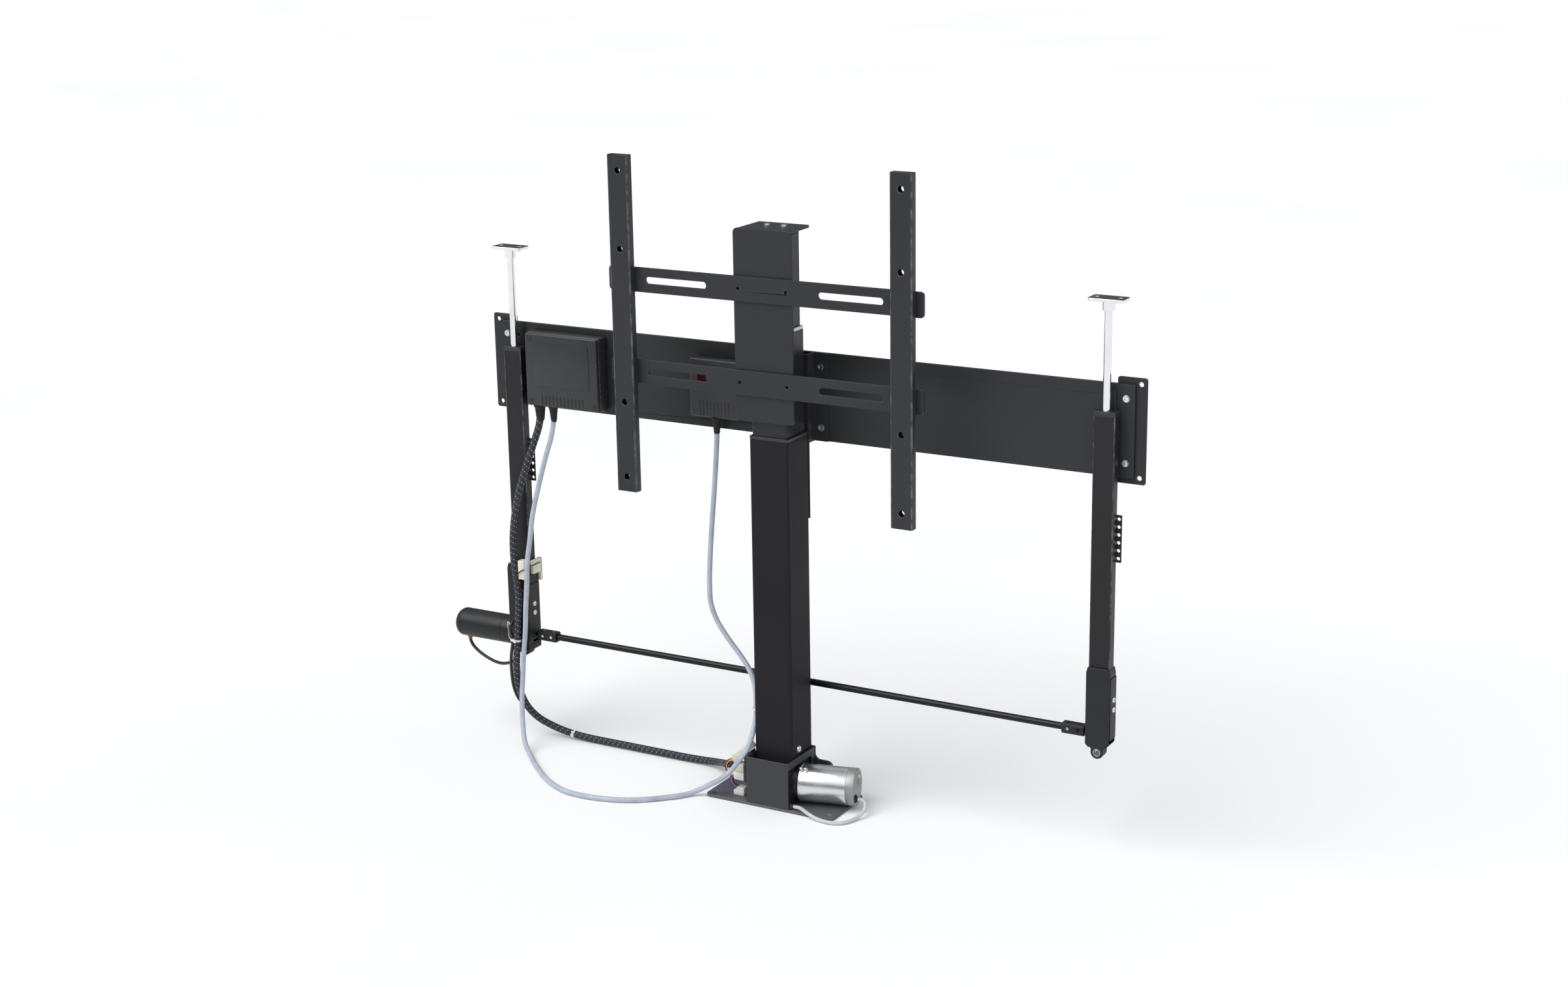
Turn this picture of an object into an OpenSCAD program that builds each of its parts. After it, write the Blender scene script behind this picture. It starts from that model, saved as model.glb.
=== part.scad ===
// Screen lift: a telescopic column on a base plate, a rear rail and two lid actuators.
// Millimetres, X to the right, Y to the back, Z up; the origin is under the plate on the column axis.

/* [Base] */
// Width of the base plate
plate_w = 192; // [180:1:210]
// Depth of the base plate
plate_d = 92; // [90:1:104]
// Thickness of the base plate
plate_t = 4; // [3:0.5:6]
// Corner radius of the base plate
plate_r = 8; // [4:1:12]
// Diameter of the four floor bolt holes
foot_hole_d = 7; // [5:0.5:9]
// Distance of the floor bolt holes from the edges
foot_hole_inset = 10; // [8:1:13]
// Height of the folded housing above the plate
housing_h = 64; // [62:1:70]
// Thickness of the folded sheet
sheet_t = 2; // [1.5:0.5:2.5]
// Gap between the housing cheeks and the column
housing_gap = 1.5; // [1:0.5:3]
// Thickness of the rear gusset plate
gusset_t = 3; // [2:0.5:4]
// Width of the gusset foot
gusset_w = 116; // [100:2:130]
// Height of the wide part of the gusset
gusset_step = 46; // [40:1:50]

/* [Column] */
// Outside width of the fixed column
col_w = 56; // [54:1:60]
// Corner radius of the fixed column
col_r = 4; // [3.5:0.5:6]
// Wall of every column tube
tube_wall = 2; // [1.6:0.1:2.4]
// Gap between one tube and the next
stage_gap = 1; // [0.8:0.1:1.4]
// Running clearance of the glide rings
glide_clear = 0.15; // [0.1:0.05:0.25]
// Height of the glide rings
glide_h = 30; // [20:1:34]
// Length of the fixed column tube
col_len = 435; // [425:1:460]
// Length of the middle tube
mid_len = 432; // [425:1:440]
// Rim of the collars above their tubes
collar_t = 4; // [3:0.5:6]
// Travel of each stage below the rest height
lift_down = 115; // [60:1:120]
// Travel of each stage above the rest height
lift_up = 210; // [120:1:212]

/* [Lift drive] */
// Height of the gearbox body
gear_body_h = 46; // [44:1:52]
// Thickness of the gearbox cover
gear_cover_t = 10; // [9:1:14]
// Height of the spigot inside the column foot
spigot_h = 23; // [20:1:28]
// Wall of the spigot
spigot_wall = 6; // [4:0.5:8]
// Outside diameter of the motor can
motor_d = 50; // [46:1:52]
// Length of the motor can
motor_len = 64; // [58:1:70]
// Gap between the motor and the base plate
motor_gap = 1.5; // [0.5:0.5:3]
// Turn of the motor about the column
motor_yaw = 13.6; // [0:0.1:15]
// Length of the cast nose between gearbox and motor
nose_len = 1; // [1:0.5:4]
// Teeth on the worm wheel
wheel_teeth = 24; // [20:1:26]
// Tooth module of the worm gearing
gear_mod = 1; // [0.9:0.05:1.1]
// Pitch diameter of the worm
worm_d = 8; // [7.5:0.5:9]
// Diameter of the lift screw
screw_d = 10; // [8:0.5:10]
// Outside diameter of the hollow stage screw
stage_screw_d = 18; // [17:0.5:20]
// Radial clearance of running bores
run_clear = 0.05; // [0.03:0.01:0.08]
// Radial gap between the two screws
screw_gap = 0.3; // [0.3:0.1:0.5]
// Height of the lift nut
nut_h = 16; // [12:1:18]
// Height of the stage nut
stage_nut_h = 22; // [16:1:24]

/* [Screen bracket] */
// Spacing of the two arms, which is the hole spacing across
vesa_x = 400; // [300:10:420]
// Outer hole spacing up and down
vesa_y = 400; // [380:10:420]
// Inner hole spacing up and down
vesa_mid = 200; // [180:10:220]
// Height of the hole pattern's centre at rest
vesa_z = 630; // [610:1:650]
// Diameter of the screen bolt holes
vesa_hole_d = 8.4; // [6.4:0.2:9]
// Width of one arm
arm_w = 30; // [24:1:36]
// Depth of one arm
arm_d = 12; // [10:1:16]
// Height of one cross bar
bar_h = 32; // [28:1:40]
// Thickness of the spine and of the bars
bracket_t = 4; // [3:0.5:5]
// Width of the spine
spine_w = 84; // [80:1:110]
// Length of the spine below the pattern's centre
spine_low = 110; // [90:1:120]
// Distance of each cross bar from the pattern's centre
bar_dz = 60; // [50:1:70]
// Length of the arms past the outer holes
arm_over = 20; // [14:1:30]

/* [Rear rail] */
// Length of the rail
rail_w = 926; // [900:2:960]
// Height of the rail
rail_h = 116; // [100:1:124]
// Thickness of the rail
rail_t = 4; // [3:0.5:5]
// Height of the rail's lower edge
rail_z = 482; // [478:1:500]
// Width of an end plate
end_plate_w = 38; // [34:1:39]
// Height of an end plate
end_plate_h = 132; // [126:1:150]
// Length of an end plate past the rail
end_plate_out = 14; // [12:1:18]
// Diameter of the end plate screw holes
end_hole_d = 6; // [5:0.5:7]
// Width of an actuator strap
strap_w = 16; // [14:1:20]
// Thickness of an actuator strap
strap_t = 3; // [2:0.5:4]
// Length of the column clamp below the rail
clamp_low = 100; // [90:1:120]

/* [Lid actuators] */
// Distance of each actuator from the rail's end
act_in = 31; // [29:1:38]
// Width of the gear housing
act_w = 32; // [30:1:38]
// Depth of the gear housing
act_d = 20; // [20:0.5:24]
// Height of the gear housing
act_h = 101; // [98:1:110]
// Height of the housing's lower edge
act_z = 141; // [136:1:150]
// Extra depth of the motor side housing towards the front
left_deep = 10; // [6:0.5:12]
// Extra height of the motor side housing
left_tall = 18; // [10:1:24]
// Extra drop of the motor side housing
left_low = 4; // [1:0.5:4]
// Extra height of the right housing below the same line
right_low = 4; // [0:0.5:4]
// Distance of the cross shaft above the housing's lower edge
shaft_up = 14; // [13:0.5:16]
// Radius of the lug under the housing
lug_r = 8.25; // [7.5:0.25:10]
// Depth of the lug under the housing
lug_deep = 15; // [12:1:20]
// Drop of the lug hole below the housing
lug_drop = 9.5; // [8:0.5:14]
// Diameter of the lug bush bore
lug_bore_d = 8; // [6:0.5:9]
// Thickness of the side cover
cover_t = 1; // [0.8:0.1:2]
// Width of the flat tube
flat_w = 28; // [26:0.5:28]
// Depth of the flat tube
flat_d = 14; // [13.5:0.5:15]
// Wall of the flat tube
flat_wall = 1.5; // [1.2:0.1:1.6]
// Length of the flat tube
flat_len = 324; // [320:1:340]
// Diameter of the rod
rod_d = 10; // [9.5:0.1:10]
// Diameter of the spindle
spindle_d = 6; // [5.5:0.1:6.2]
// Travel of the rods below the rest height
lid_down = 110; // [60:1:112]
// Travel of the rods above the rest height
lid_up = 140; // [80:1:142]
// Diameter of the cross shaft
shaft_d = 9; // [8:0.5:10]
// Diameter of the bevel shafts
bevel_shaft_d = 6; // [5:0.5:6]
// Length of one coupler
coupler_len = 30; // [29:1:36]
// Width across the coupler faces
coupler_w = 14; // [13.5:0.5:18]
// Diameter of the actuator motor
lid_motor_d = 40; // [34:1:42]
// Length of the actuator motor
lid_motor_len = 100; // [80:1:110]
// Width of the perforated strip past the actuator's middle
strip_w = 20; // [19:0.5:24]
// Pitch of the strip's holes
strip_pitch = 10; // [9:0.5:12]

/* [Cables] */
// Diameter of the grey cable
grey_d = 7; // [6:0.5:8]
// Diameter of the braided sleeve
sleeve_d = 10; // [8:0.5:10]
// Diameter of the lid motor cable
lid_cable_d = 4.5; // [4:0.5:5]
// Diameter of the thin lead from the motor side housing
switch_lead_d = 4.5; // [4:0.5:5]
// Diameter of the lift motor cable
lift_cable_d = 5; // [4:0.5:5.5]

/* [Hidden] */
$fn = 48;
eps = 0.02;
fit = 0.04;
bolt_r = 2.5;
head_r = 4.5;
head_h = 2;
housing_w = col_w + 2 * (housing_gap + sheet_t);
housing_top = plate_t + housing_h;
front_y = -plate_d / 2;
gear_top = plate_t + gear_body_h;
col_base = gear_top + gear_cover_t;
col_top = col_base + col_len;
col_in = col_w - 2 * tube_wall;
mid_w = col_in - 2 * stage_gap;
mid_in = mid_w - 2 * tube_wall;
inner_w = mid_in - 2 * stage_gap;
inner_in = inner_w - 2 * tube_wall;
mid_r = col_r - 1;
inner_r = col_r - 1.5;
park_gap = 3;
mid_foot_h = nut_h + 18;
screw_collar_h = 4;
stage_park = mid_foot_h + screw_collar_h + 6;
mid_z = col_base + spigot_h + park_gap + lift_down;
mid_top = mid_z + mid_len;
inner_z = mid_z + stage_park + lift_down;
inner_foot_h = stage_nut_h + 4;
inner_top = mid_top + collar_t + 4 + lift_down;
inner_len = inner_top - inner_z;
screw_foot = plate_t + 4;
screw_top = mid_z + lift_up + nut_h + 8;
stage_screw_foot = mid_z + nut_h + 4;
stage_screw_top = inner_z + lift_up + stage_nut_h + 8;
stage_collar_r = stage_screw_d / 2 + 4;
key_w = 3;
screw_key_len = 14;
wheel_r = wheel_teeth * gear_mod / 2;
motor_y = -(wheel_r + worm_d / 2);
motor_z = plate_t + motor_gap + motor_d / 2;
nose_r = motor_d / 2 - 2;
nose_x = col_w / 2 + nose_len;
can_end = nose_x + motor_len;
rotor_in = 12;
rotor_len = motor_len - 26;
cap_len = 11.5;
cap_end = can_end + cap_len;
cap_soft = 1.5;
boss_h = 4;
stud_r = 2.2;
stud_h = 3.2;
stud_s = [nose_x + 2.6, nose_x + 9];
stud_tilt = 30;
grommet_r = 4.5;
grommet_y = motor_y - 14.7;
grommet_z = motor_z - 10.7;
grommet_end = cap_end + 3.5;
gear_front = front_y + sheet_t + 0.5;
worm_end = 26;
clamp_y = col_w / 2;
rail_y = 48;
plate_back_y = rail_y + rail_t;
rail_top = rail_z + rail_h;
rail_mid = rail_z + rail_h / 2;
rail_bolt_dz = rail_h / 2 - 18;
end_x = rail_w / 2 + end_plate_out;
end_bolt_x = rail_w / 2 - 11;
end_hole_x = end_x - 8;
end_hole_dz = end_plate_h / 2 - 8;
foot_x = [-plate_w / 2 + foot_hole_inset, plate_w / 2 - foot_hole_inset];
foot_y = [-plate_d / 2 + foot_hole_inset, plate_d / 2 - foot_hole_inset];
spine_back = -col_w / 2 - 3;
bar_back = spine_back - bracket_t;
arm_back = bar_back - bracket_t;
bar_z = [vesa_z - bar_dz, vesa_z + bar_dz];
bar_half = vesa_x / 2 + arm_w / 2 + 10;
arm_len = vesa_y + 2 * arm_over;
spine_bolt_x = spine_w / 2 - 8;
head_t = 6;
act_x = rail_w / 2 - act_in;
act_y = 35;
act_top = act_z + act_h;
shaft_z = act_z + shaft_up;
lug_z = act_z - lug_drop;
flat_y0 = act_y - flat_d / 2;
flat_seat = 6;
flat_z = act_top - flat_seat;
flat_top = flat_z + flat_len;
guide_h = 18;
guide_rim = 6;
rod_nut_h = 20;
rod_foot = act_top + lid_down + 20;
lid_gap = 14;
rod_top = flat_top + guide_rim + lid_down + lid_gap;
spindle_top = rod_foot + rod_nut_h + lid_up + 6;
lid_plate_t = 4;
lid_boss_h = 10;
lid_hole_x = 15;
bevel_big = 7.5;
bevel_small = 4;
bevel_gap = 0.12;
chamber_x = 10;
chamber_y = act_d / 2 - 1.8;
chamber_h = 30;
chamber_z = act_z + 5;
spindle_seat = 10;
bearing_r = 8;
bearing_h = 8;
coupler_x0 = act_x - act_w / 2 - cover_t - 2;
coupler_shift = 3;
coupler_grip = 13;
strap_y0 = act_y + act_d / 2;
strap_bolt_z = [act_z + 58, act_z + 84];
strip_z0 = 376;
cover_screw_z = [act_z + 47, act_z + 60];
cover_top = act_top - 12;
shoulder_z = act_top + 2;
box_w = 118;
box_x = [-act_x + 24, -act_x + 24 + box_w];
box_y = 22;
box_z = [488, 590];
hub_x = [-150, -76];
hub_y = 28;
hub_z = [500, 578];
clip_x = -44;
plug_len = 16;
plug_h = 11;
plug_y = [-32, -18];
lead_plug_w = 6.8;
lead_y = [-40 - lead_plug_w / 2, -40 + lead_plug_w / 2];
plug_x = [clip_x - plug_len, clip_x];
plug_z = [plate_t, 26, 26 + plug_h + 0.5];
slant = 41;
slant_half = 19;
slant_at = [clip_x + 0.5, (plug_y[0] + plug_y[1]) / 2, 61.5];
lay_near = 120;
lay_far = 432;

// A cable's points spread with the actuators, apart from those close to the column.
function lay_x(x) = x < -lay_near ? (x + lay_near) * (act_x - lay_near) / (lay_far - lay_near) - lay_near : x;

function lay(p) = [for (q = p) [lay_x(q[0]), q[1], q[2]]];

function turned_point(s, y, z) =
  [s * cos(motor_yaw) - y * sin(motor_yaw), s * sin(motor_yaw) + y * cos(motor_yaw), z];

// Routes of the cables, point by point along each cable's middle line.
tie_lead = [-439.2, 8.5, 151];
grey_path = lay([
  [-372, 35, 487.7], [-372, 35, 472], [-376, 33, 446], [-385, 29, 414], [-393, 22, 376], [-399.5, 14, 336],
  [-401, 7, 302], [-403.6, 2, 270], [-405.8, 2, 241], [-411.5, 5, 204], [-416.5, 8, 166], [-421.2, 10, 141],
  [-423.6, 9.5, 116], [-424.5, 7.5, 92], [-423, 2, 68], [-415, -10, 33], [-404, -22, 14], [-386, -37, 4.4],
  [-362, -60, 3.6], [-334, -85, 3.6], [-312, -102, 3.6], [-288, -116, 3.6], [-264, -125, 3.6], [-238, -127, 3.6],
  [-212, -124, 3.6], [-187, -117, 3.6], [-168, -108, 3.6], [-150, -95, 3.6], [-135, -81, 3.6], [-124, -70.5, 3.6],
  [-118, -62.5, 3.6], [-112.5, -55.5, 4.4], [-106.8, -50.5, 6.8], [-99.4, -47.6, 10.6], [-89.4, -46.3, 16.9],
  [-78.9, -45.5, 23.5], [-68.4, -44.8, 31.2], [-58.4, -44, 40.4], [-51.3, -43.1, 48.6], [-45.5, -42, 57],
  [-39.5, -40.8, 65], [-35, -38.8, 72.5], [-32.6, -36, 80], [-31.9, -30.6, 87.5], [-32.2, -24.5, 95.5],
  [-32.5, -19, 104.5], [-32.5, -16, 114], [-32.5, -15, 124], [-32.6, -14.6, 136], [-34.6, -12, 148],
  [-40.5, -6.5, 160], [-51, 0, 172], [-66.5, 4, 188], [-86, 6, 208], [-102, 6, 230], [-111, 6, 253],
  [-113, 7, 280], [-113, 10, 315], [-113, 16, 355], [-113, 24, 400], [-113, 31, 445], [-113, 35, 480],
  [-113, 35, 499.7]
]);
sleeve_path = lay([
  [-60.4, -25, 43.2], [-68, -25, 43], [-74.5, -22.8, 41.6], [-82, -14.5, 37.8], [-90, -2.5, 32], [-98.5, 10, 26],
  [-107, 21.5, 21], [-118, 33, 15.5], [-130, 42, 11.2], [-145, 47.5, 8], [-162, 49.3, 6.4], [-185, 49.5, 5.8],
  [-212, 49.5, 5.8], [-240, 49.5, 5.8], [-268, 49.5, 5.8], [-296, 49.5, 5.8], [-324, 49.5, 5.8], [-352, 49, 6.5],
  [-378, 47.5, 9.5], [-402, 43, 17], [-420, 35, 29], [-430, 25.5, 46], [-434, 16.5, 67], [-435.5, 11, 90],
  [-434.7, 8.8, 112], [-433.1, 8.5, 130], [-431, 8.5, 151], [-428.6, 8.5, 179], [-426, 8.5, 205],
  [-425.7, 8.5, 222], [-427.3, 8.5, 240], [-429.7, 8.7, 258], [-431.5, 9.4, 278], [-431.8, 10.8, 302],
  [-429.5, 14, 332], [-424, 17.5, 364], [-414, 22, 398], [-404, 27.5, 430], [-396, 33, 458], [-394, 35, 474],
  [-394, 35, 487.7]
]);
lid_cable_path = lay([
  [-532.5, 35, 134.7], [-532.3, 35, 128], [-528.5, 34.8, 121], [-520, 33.5, 115], [-508, 31, 110.3],
  [-495, 28, 107.2], [-482, 24.5, 105.8], [-469, 21, 106.6], [-457, 18, 109.8], [-448, 16.4, 113.4],
  [-442, 15.2, 117.4], [-437.8, 14.1, 121.4]
]);
switch_lead_path = lay([
  [-438.4, front_of(-1) - 0.3, 177], [-438.7, 11.3, 176.4], [-439.4, 7.6, 174.1], [-440.1, 5.3, 170.4],
  [-440.5, 4.7, 166.5], [-440.4, 5.7, 161.5], [-439.8, 7.6, 156.5], tie_lead, [-439.8, 8.6, 143.5],
  [-441.9, 8.5, 132.5], [-443.5, 8.8, 121.4], [-444.4, 9.5, 108], [-445.1, 11, 94.4], [-445.6, 14, 80.5],
  [-445.2, 18, 68], [-443.4, 22.8, 57], [-440.3, 27, 50], [-436, 31, 44.8], [-431.8, 35, 38], [-428.2, 36.8, 32.8]
]);
lift_cable_path = [
  turned_point(grommet_end + 0.3, grommet_y, grommet_z), turned_point(grommet_end + 5, grommet_y, grommet_z - 0.3),
  [121.6, -3.4, 17.6], [124.6, -6.6, 14], [125.6, -12.4, 9.4], [124, -20.5, 5.6], [120.8, -30, 3.2], [117, -40, 2.8],
  [111, -48.5, 2.8], [101, -53.6, 2.8], [88, -54.5, 3], [75, -53, 4.2], [64, -50, 6.4], [54.5, -45.8, 8],
  [47.5, -41.8, 8.3], [42, -40.1, 7.9], [36.4, -40, 7.8]
];

function tangent(p, i) = let (v = p[min(i + 1, len(p) - 1)] - p[max(i - 1, 0)]) v / norm(v);

function square_to(n, t) = let (m = n - (n * t) * t) m / norm(m);

function normals(p, i, n) =
  i >= len(p) ? [] : let (m = square_to(n, tangent(p, i))) concat([m], normals(p, i + 1, m));

function ring(c, t, n, r, k) = [for (j = [0:k - 1]) c + r * (cos(360 * j / k) * n + sin(360 * j / k) * cross(t, n))];

module tube_along(p, d) {
  k = 10;
  ns = normals(p, 0, [0.13, 0.99, 0.05]);
  last = len(p) - 1;
  points = [for (i = [0:last]) each ring(p[i], tangent(p, i), ns[i], d / 2, k)];
  lower = [for (i = [0:last - 1]) for (j = [0:k - 1]) [i * k + j, (i + 1) * k + j, (i + 1) * k + (j + 1) % k]];
  upper = [for (i = [0:last - 1]) for (j = [0:k - 1]) [i * k + j, (i + 1) * k + (j + 1) % k, i * k + (j + 1) % k]];
  start = [[for (j = [0:k - 1]) j]];
  finish = [[for (j = [k - 1:-1:0]) last * k + j]];
  polyhedron(points = points, faces = concat(start, lower, upper, finish), convexity = 10);
}

module rounded_rect(w, d, r) {
  square([w - 2 * r, d], center = true);
  square([w, d - 2 * r], center = true);
  for (sx = [-1, 1])
    for (sy = [-1, 1])
      translate([sx * (w / 2 - r), sy * (d / 2 - r)])
        circle(r = r);
}

module square_tube(w, wall, r, h) {
  difference() {
    linear_extrude(h)
      rounded_rect(w, w, r);
    translate([0, 0, -1])
      linear_extrude(h + 2)
        rounded_rect(w - 2 * wall, w - 2 * wall, max(r - wall, 0.6));
  }
}

module box(x, y, z) {
  translate([x[0], y[0], z[0]])
    cube([x[1] - x[0], y[1] - y[0], z[1] - z[0]]);
}

module rod_x(x, y, z, r) {
  translate([x[0], y, z])
    rotate([0, 90, 0])
      cylinder(r = r, h = x[1] - x[0]);
}

module rod_y(x, y, z, r) {
  translate([x, y[1], z])
    rotate([90, 0, 0])
      cylinder(r = r, h = y[1] - y[0]);
}

module rod_z(x, y, z, r) {
  translate([x, y, z[0]])
    cylinder(r = r, h = z[1] - z[0]);
}

// Drilled holes shared by the pieces that one bolt joins.
module column_screw_holes() {
  rod_x([-col_w / 2 - 10, col_w / 2 + 10], -10.5, col_base + 17, bolt_r);
}

module gusset_screw_holes() {
  for (sx = [-1, 1])
    rod_z(sx * (gusset_w / 2 - 20), clamp_y + 10, [-1, plate_t + gusset_t + 1], bolt_r);
}

module turned() {
  rotate([0, 0, motor_yaw])
    children();
}

module can_studs(r) {
  for (s = stud_s)
    translate([s, motor_y, motor_z])
      rotate([stud_tilt, 0, 0])
        rod_z(0, 0, [motor_d / 2 - 1.8, motor_d / 2 + stud_h], r);
}

module rail_bolt_holes(y) {
  for (sx = [-1, 1])
    for (sz = [-1, 1])
      rod_y(sx * (col_w / 2 + 9), y, rail_mid + sz * rail_bolt_dz, bolt_r);
}

module clamp_bolt_holes(y) {
  for (sx = [-1, 1])
    for (z = [rail_z - 82, rail_z - 12])
      rod_y(sx * 12, y, z, bolt_r);
}

module strap_rail_holes(y) {
  for (sx = [-1, 1])
    for (sz = [-1, 1])
      rod_y(sx * act_x, y, rail_mid + sz * rail_bolt_dz, bolt_r);
}

module strap_housing_holes(y) {
  for (sx = [-1, 1])
    for (z = strap_bolt_z)
      rod_y(sx * act_x, y, z, bolt_r);
}

module end_bolt_holes(y) {
  for (sx = [-1, 1])
    for (sz = [-1, 1])
      rod_y(sx * end_bolt_x, y, rail_mid + sz * rail_bolt_dz, bolt_r);
}

function front_of(c) = act_y - act_d / 2 - (c < 0 ? left_deep : 0);

function face_mid(c) = (front_of(c) + act_y + act_d / 2) / 2;

module cover_screw_holes(c, x) {
  for (z = cover_screw_z)
    rod_x([c + x[0], c + x[1]], face_mid(c), z, bolt_r - 0.5);
}

module head_bolt_holes(z) {
  for (sx = [-1, 1])
    rod_z(sx * 12, 0, z, bolt_r);
}

module bar_bolt_holes(y) {
  for (sx = [-1, 1])
    for (z = bar_z)
      rod_y(sx * spine_bolt_x, y, z, bolt_r);
}

module arm_bolt_holes(y) {
  for (sx = [-1, 1])
    for (z = bar_z)
      rod_y(sx * vesa_x / 2, y, z, bolt_r);
}

// Fixed frame.
module base_plate() {
  color("#3c3d41")
    difference() {
      linear_extrude(plate_t)
        rounded_rect(plate_w, plate_d, plate_r);
      for (x = foot_x)
        for (y = foot_y)
          rod_z(x, y, [-1, plate_t + 1], foot_hole_d / 2);
      gusset_screw_holes();
    }
}

module base_housing() {
  cheek = housing_w / 2;
  window_y = (motor_y + motor_d / 2 + 2) / cos(motor_yaw) + cheek * tan(motor_yaw);
  color("#3c3d41")
    difference() {
      union() {
        box([-cheek, cheek], [front_y, front_y + sheet_t], [plate_t, housing_top]);
        for (sx = [-1, 1])
          translate([sx * (cheek - sheet_t / 2), 0, 0])
            box([-sheet_t / 2, sheet_t / 2], [front_y, clamp_y], [plate_t, housing_top]);
      }
      box([0, cheek + 1], [front_y + sheet_t, window_y], [plate_t - 1, motor_z + motor_d / 2 + 2]);
    }
}

module gusset_shape() {
  top_half = housing_w / 2;
  foot_half = gusset_w / 2;
  soft = 8;
  difference() {
    union() {
      translate([-top_half, 0])
        square([2 * top_half, housing_h]);
      translate([-top_half - soft, 0])
        square([2 * (top_half + soft), gusset_step + soft]);
      translate([-foot_half, 0])
        square([2 * foot_half, gusset_step - soft]);
      translate([-foot_half + soft, 0])
        square([2 * (foot_half - soft), gusset_step]);
      for (sx = [-1, 1])
        translate([sx * (foot_half - soft), gusset_step - soft])
          circle(r = soft);
    }
    for (sx = [-1, 1])
      translate([sx * (top_half + soft), gusset_step + soft])
        circle(r = soft);
  }
}

module rear_gusset() {
  color("#3c3d41")
    difference() {
      union() {
        translate([0, clamp_y + gusset_t, plate_t])
          rotate([90, 0, 0])
            linear_extrude(gusset_t)
              gusset_shape();
        box([-gusset_w / 2 + 8, gusset_w / 2 - 8], [clamp_y, plate_d / 2], [plate_t, plate_t + gusset_t]);
      }
      gusset_screw_holes();
    }
}

module outer_column() {
  color("#3a3b3f")
    difference() {
      translate([0, 0, col_base])
        square_tube(col_w, tube_wall, col_r, col_len);
      column_screw_holes();
      clamp_bolt_holes([0, clamp_y + 1]);
    }
}

module collar(outside, tube_in, tube_out, z) {
  difference() {
    union() {
      translate([0, 0, z])
        linear_extrude(collar_t)
          rounded_rect(outside, outside, col_r - 1);
      translate([0, 0, z - glide_h])
        linear_extrude(glide_h + collar_t / 2)
          rounded_rect(tube_in - fit, tube_in - fit, mid_r - 0.5);
    }
    translate([0, 0, z - glide_h - 1])
      linear_extrude(glide_h + collar_t + 2)
        rounded_rect(tube_out + 2 * glide_clear, tube_out + 2 * glide_clear, mid_r - 1);
  }
}

module column_collar() {
  color("#2a2a2c")
    collar(col_w, col_in, mid_w, col_top);
}

module gearbox_body() {
  color("#8d9093")
    difference() {
      union() {
        box([-col_w / 2, col_w / 2], [gear_front, clamp_y], [plate_t, gear_top]);
        turned() {
          rod_x([0, nose_x], motor_y, motor_z, nose_r);
          box([nose_x - 7, nose_x - 1], [motor_y - nose_r - 2.5, motor_y], [motor_z, motor_z + 6]);
        }
      }
      rod_z(0, 0, [screw_foot + 8, gear_top + 1], wheel_r + 1.5);
      rod_z(0, 0, [screw_foot, screw_foot + 9], 11);
      turned() {
        rod_x([-worm_end + 8, nose_x + 1], motor_y, motor_z, worm_d / 2 + 1.5);
        rod_x([-worm_end, -worm_end + 9], motor_y, motor_z, 9);
        rod_x([worm_end - 6, nose_x + 1], motor_y, motor_z, 9);
        rod_x([nose_x, nose_x + 20], motor_y, motor_z, motor_d / 2 + 1);
      }
      box([-col_w / 2 - 1, col_w / 2 + 1], [-col_w / 2 - 1, col_w / 2 + 1], [gear_top, gear_top + 20]);
    }
}

module gearbox_cover() {
  half = col_w / 2;
  side = col_in - 0.2;
  color("#9a9da0")
    difference() {
      union() {
        box([-half, half], [-half, half], [gear_top, col_base]);
        translate([0, 0, col_base])
          square_tube(side, spigot_wall, col_r - tube_wall, spigot_h);
      }
      rod_z(0, 0, [gear_top - 1, col_base - 2], 13);
      rod_z(0, 0, [gear_top - 1, col_base + 1], screw_d / 2 + 1);
      column_screw_holes();
    }
}

module bearing(outer_r, inner_r, h) {
  difference() {
    cylinder(r = outer_r - fit / 2, h = h);
    translate([0, 0, -1])
      cylinder(r = inner_r + run_clear, h = h + 2);
  }
}

module gear_bearings() {
  color("#c9ccd0") {
    translate([0, 0, screw_foot])
      bearing(11, screw_d / 2, 7);
    translate([0, 0, gear_top])
      bearing(13, screw_d / 2, gear_cover_t - 2);
    turned()
      for (s = [-worm_end, worm_end - 6])
        translate([s, motor_y, motor_z])
          rotate([0, 90, 0])
            bearing(9, worm_d / 2 - 1, 6);
  }
}

module motor_can() {
  color("#c4c6c8")
    turned()
      difference() {
        union() {
          rod_x([nose_x, can_end], motor_y, motor_z, motor_d / 2);
          rod_x([nose_x, nose_x + 1.6], motor_y, motor_z, motor_d / 2 + 0.4);
        }
        rod_x([nose_x + 3, can_end + 1], motor_y, motor_z, motor_d / 2 - 2);
        rod_x([nose_x - 1, nose_x + 4], motor_y, motor_z, 8);
        can_studs(stud_r + fit);
      }
}

module motor_end_cap() {
  r = motor_d / 2;
  color("#74777b")
    turned()
      difference() {
        union() {
          rod_x([can_end, cap_end - cap_soft], motor_y, motor_z, r);
          translate([cap_end - cap_soft, motor_y, motor_z])
            rotate([0, 90, 0])
              cylinder(r1 = r, r2 = r - cap_soft, h = cap_soft);
          translate([cap_end - eps, motor_y, motor_z])
            rotate([0, 90, 0])
              cylinder(r1 = r * 0.52, r2 = r * 0.24, h = boss_h);
          rod_x([can_end - 4, can_end], motor_y, motor_z, r - 2 - fit);
        }
        rod_x([can_end - 5, can_end + 6], motor_y, motor_z, 15);
        rod_x([can_end, cap_end + 0.5], motor_y, motor_z, worm_d / 2 - 1 + run_clear);
        rod_x([cap_end - 4.5, cap_end + 1], grommet_y, grommet_z, grommet_r);
      }
}

module cable_grommet() {
  color("#1c1c1e")
    turned()
      rod_x([cap_end - 4.5, grommet_end], grommet_y, grommet_z, grommet_r - fit);
}

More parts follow.
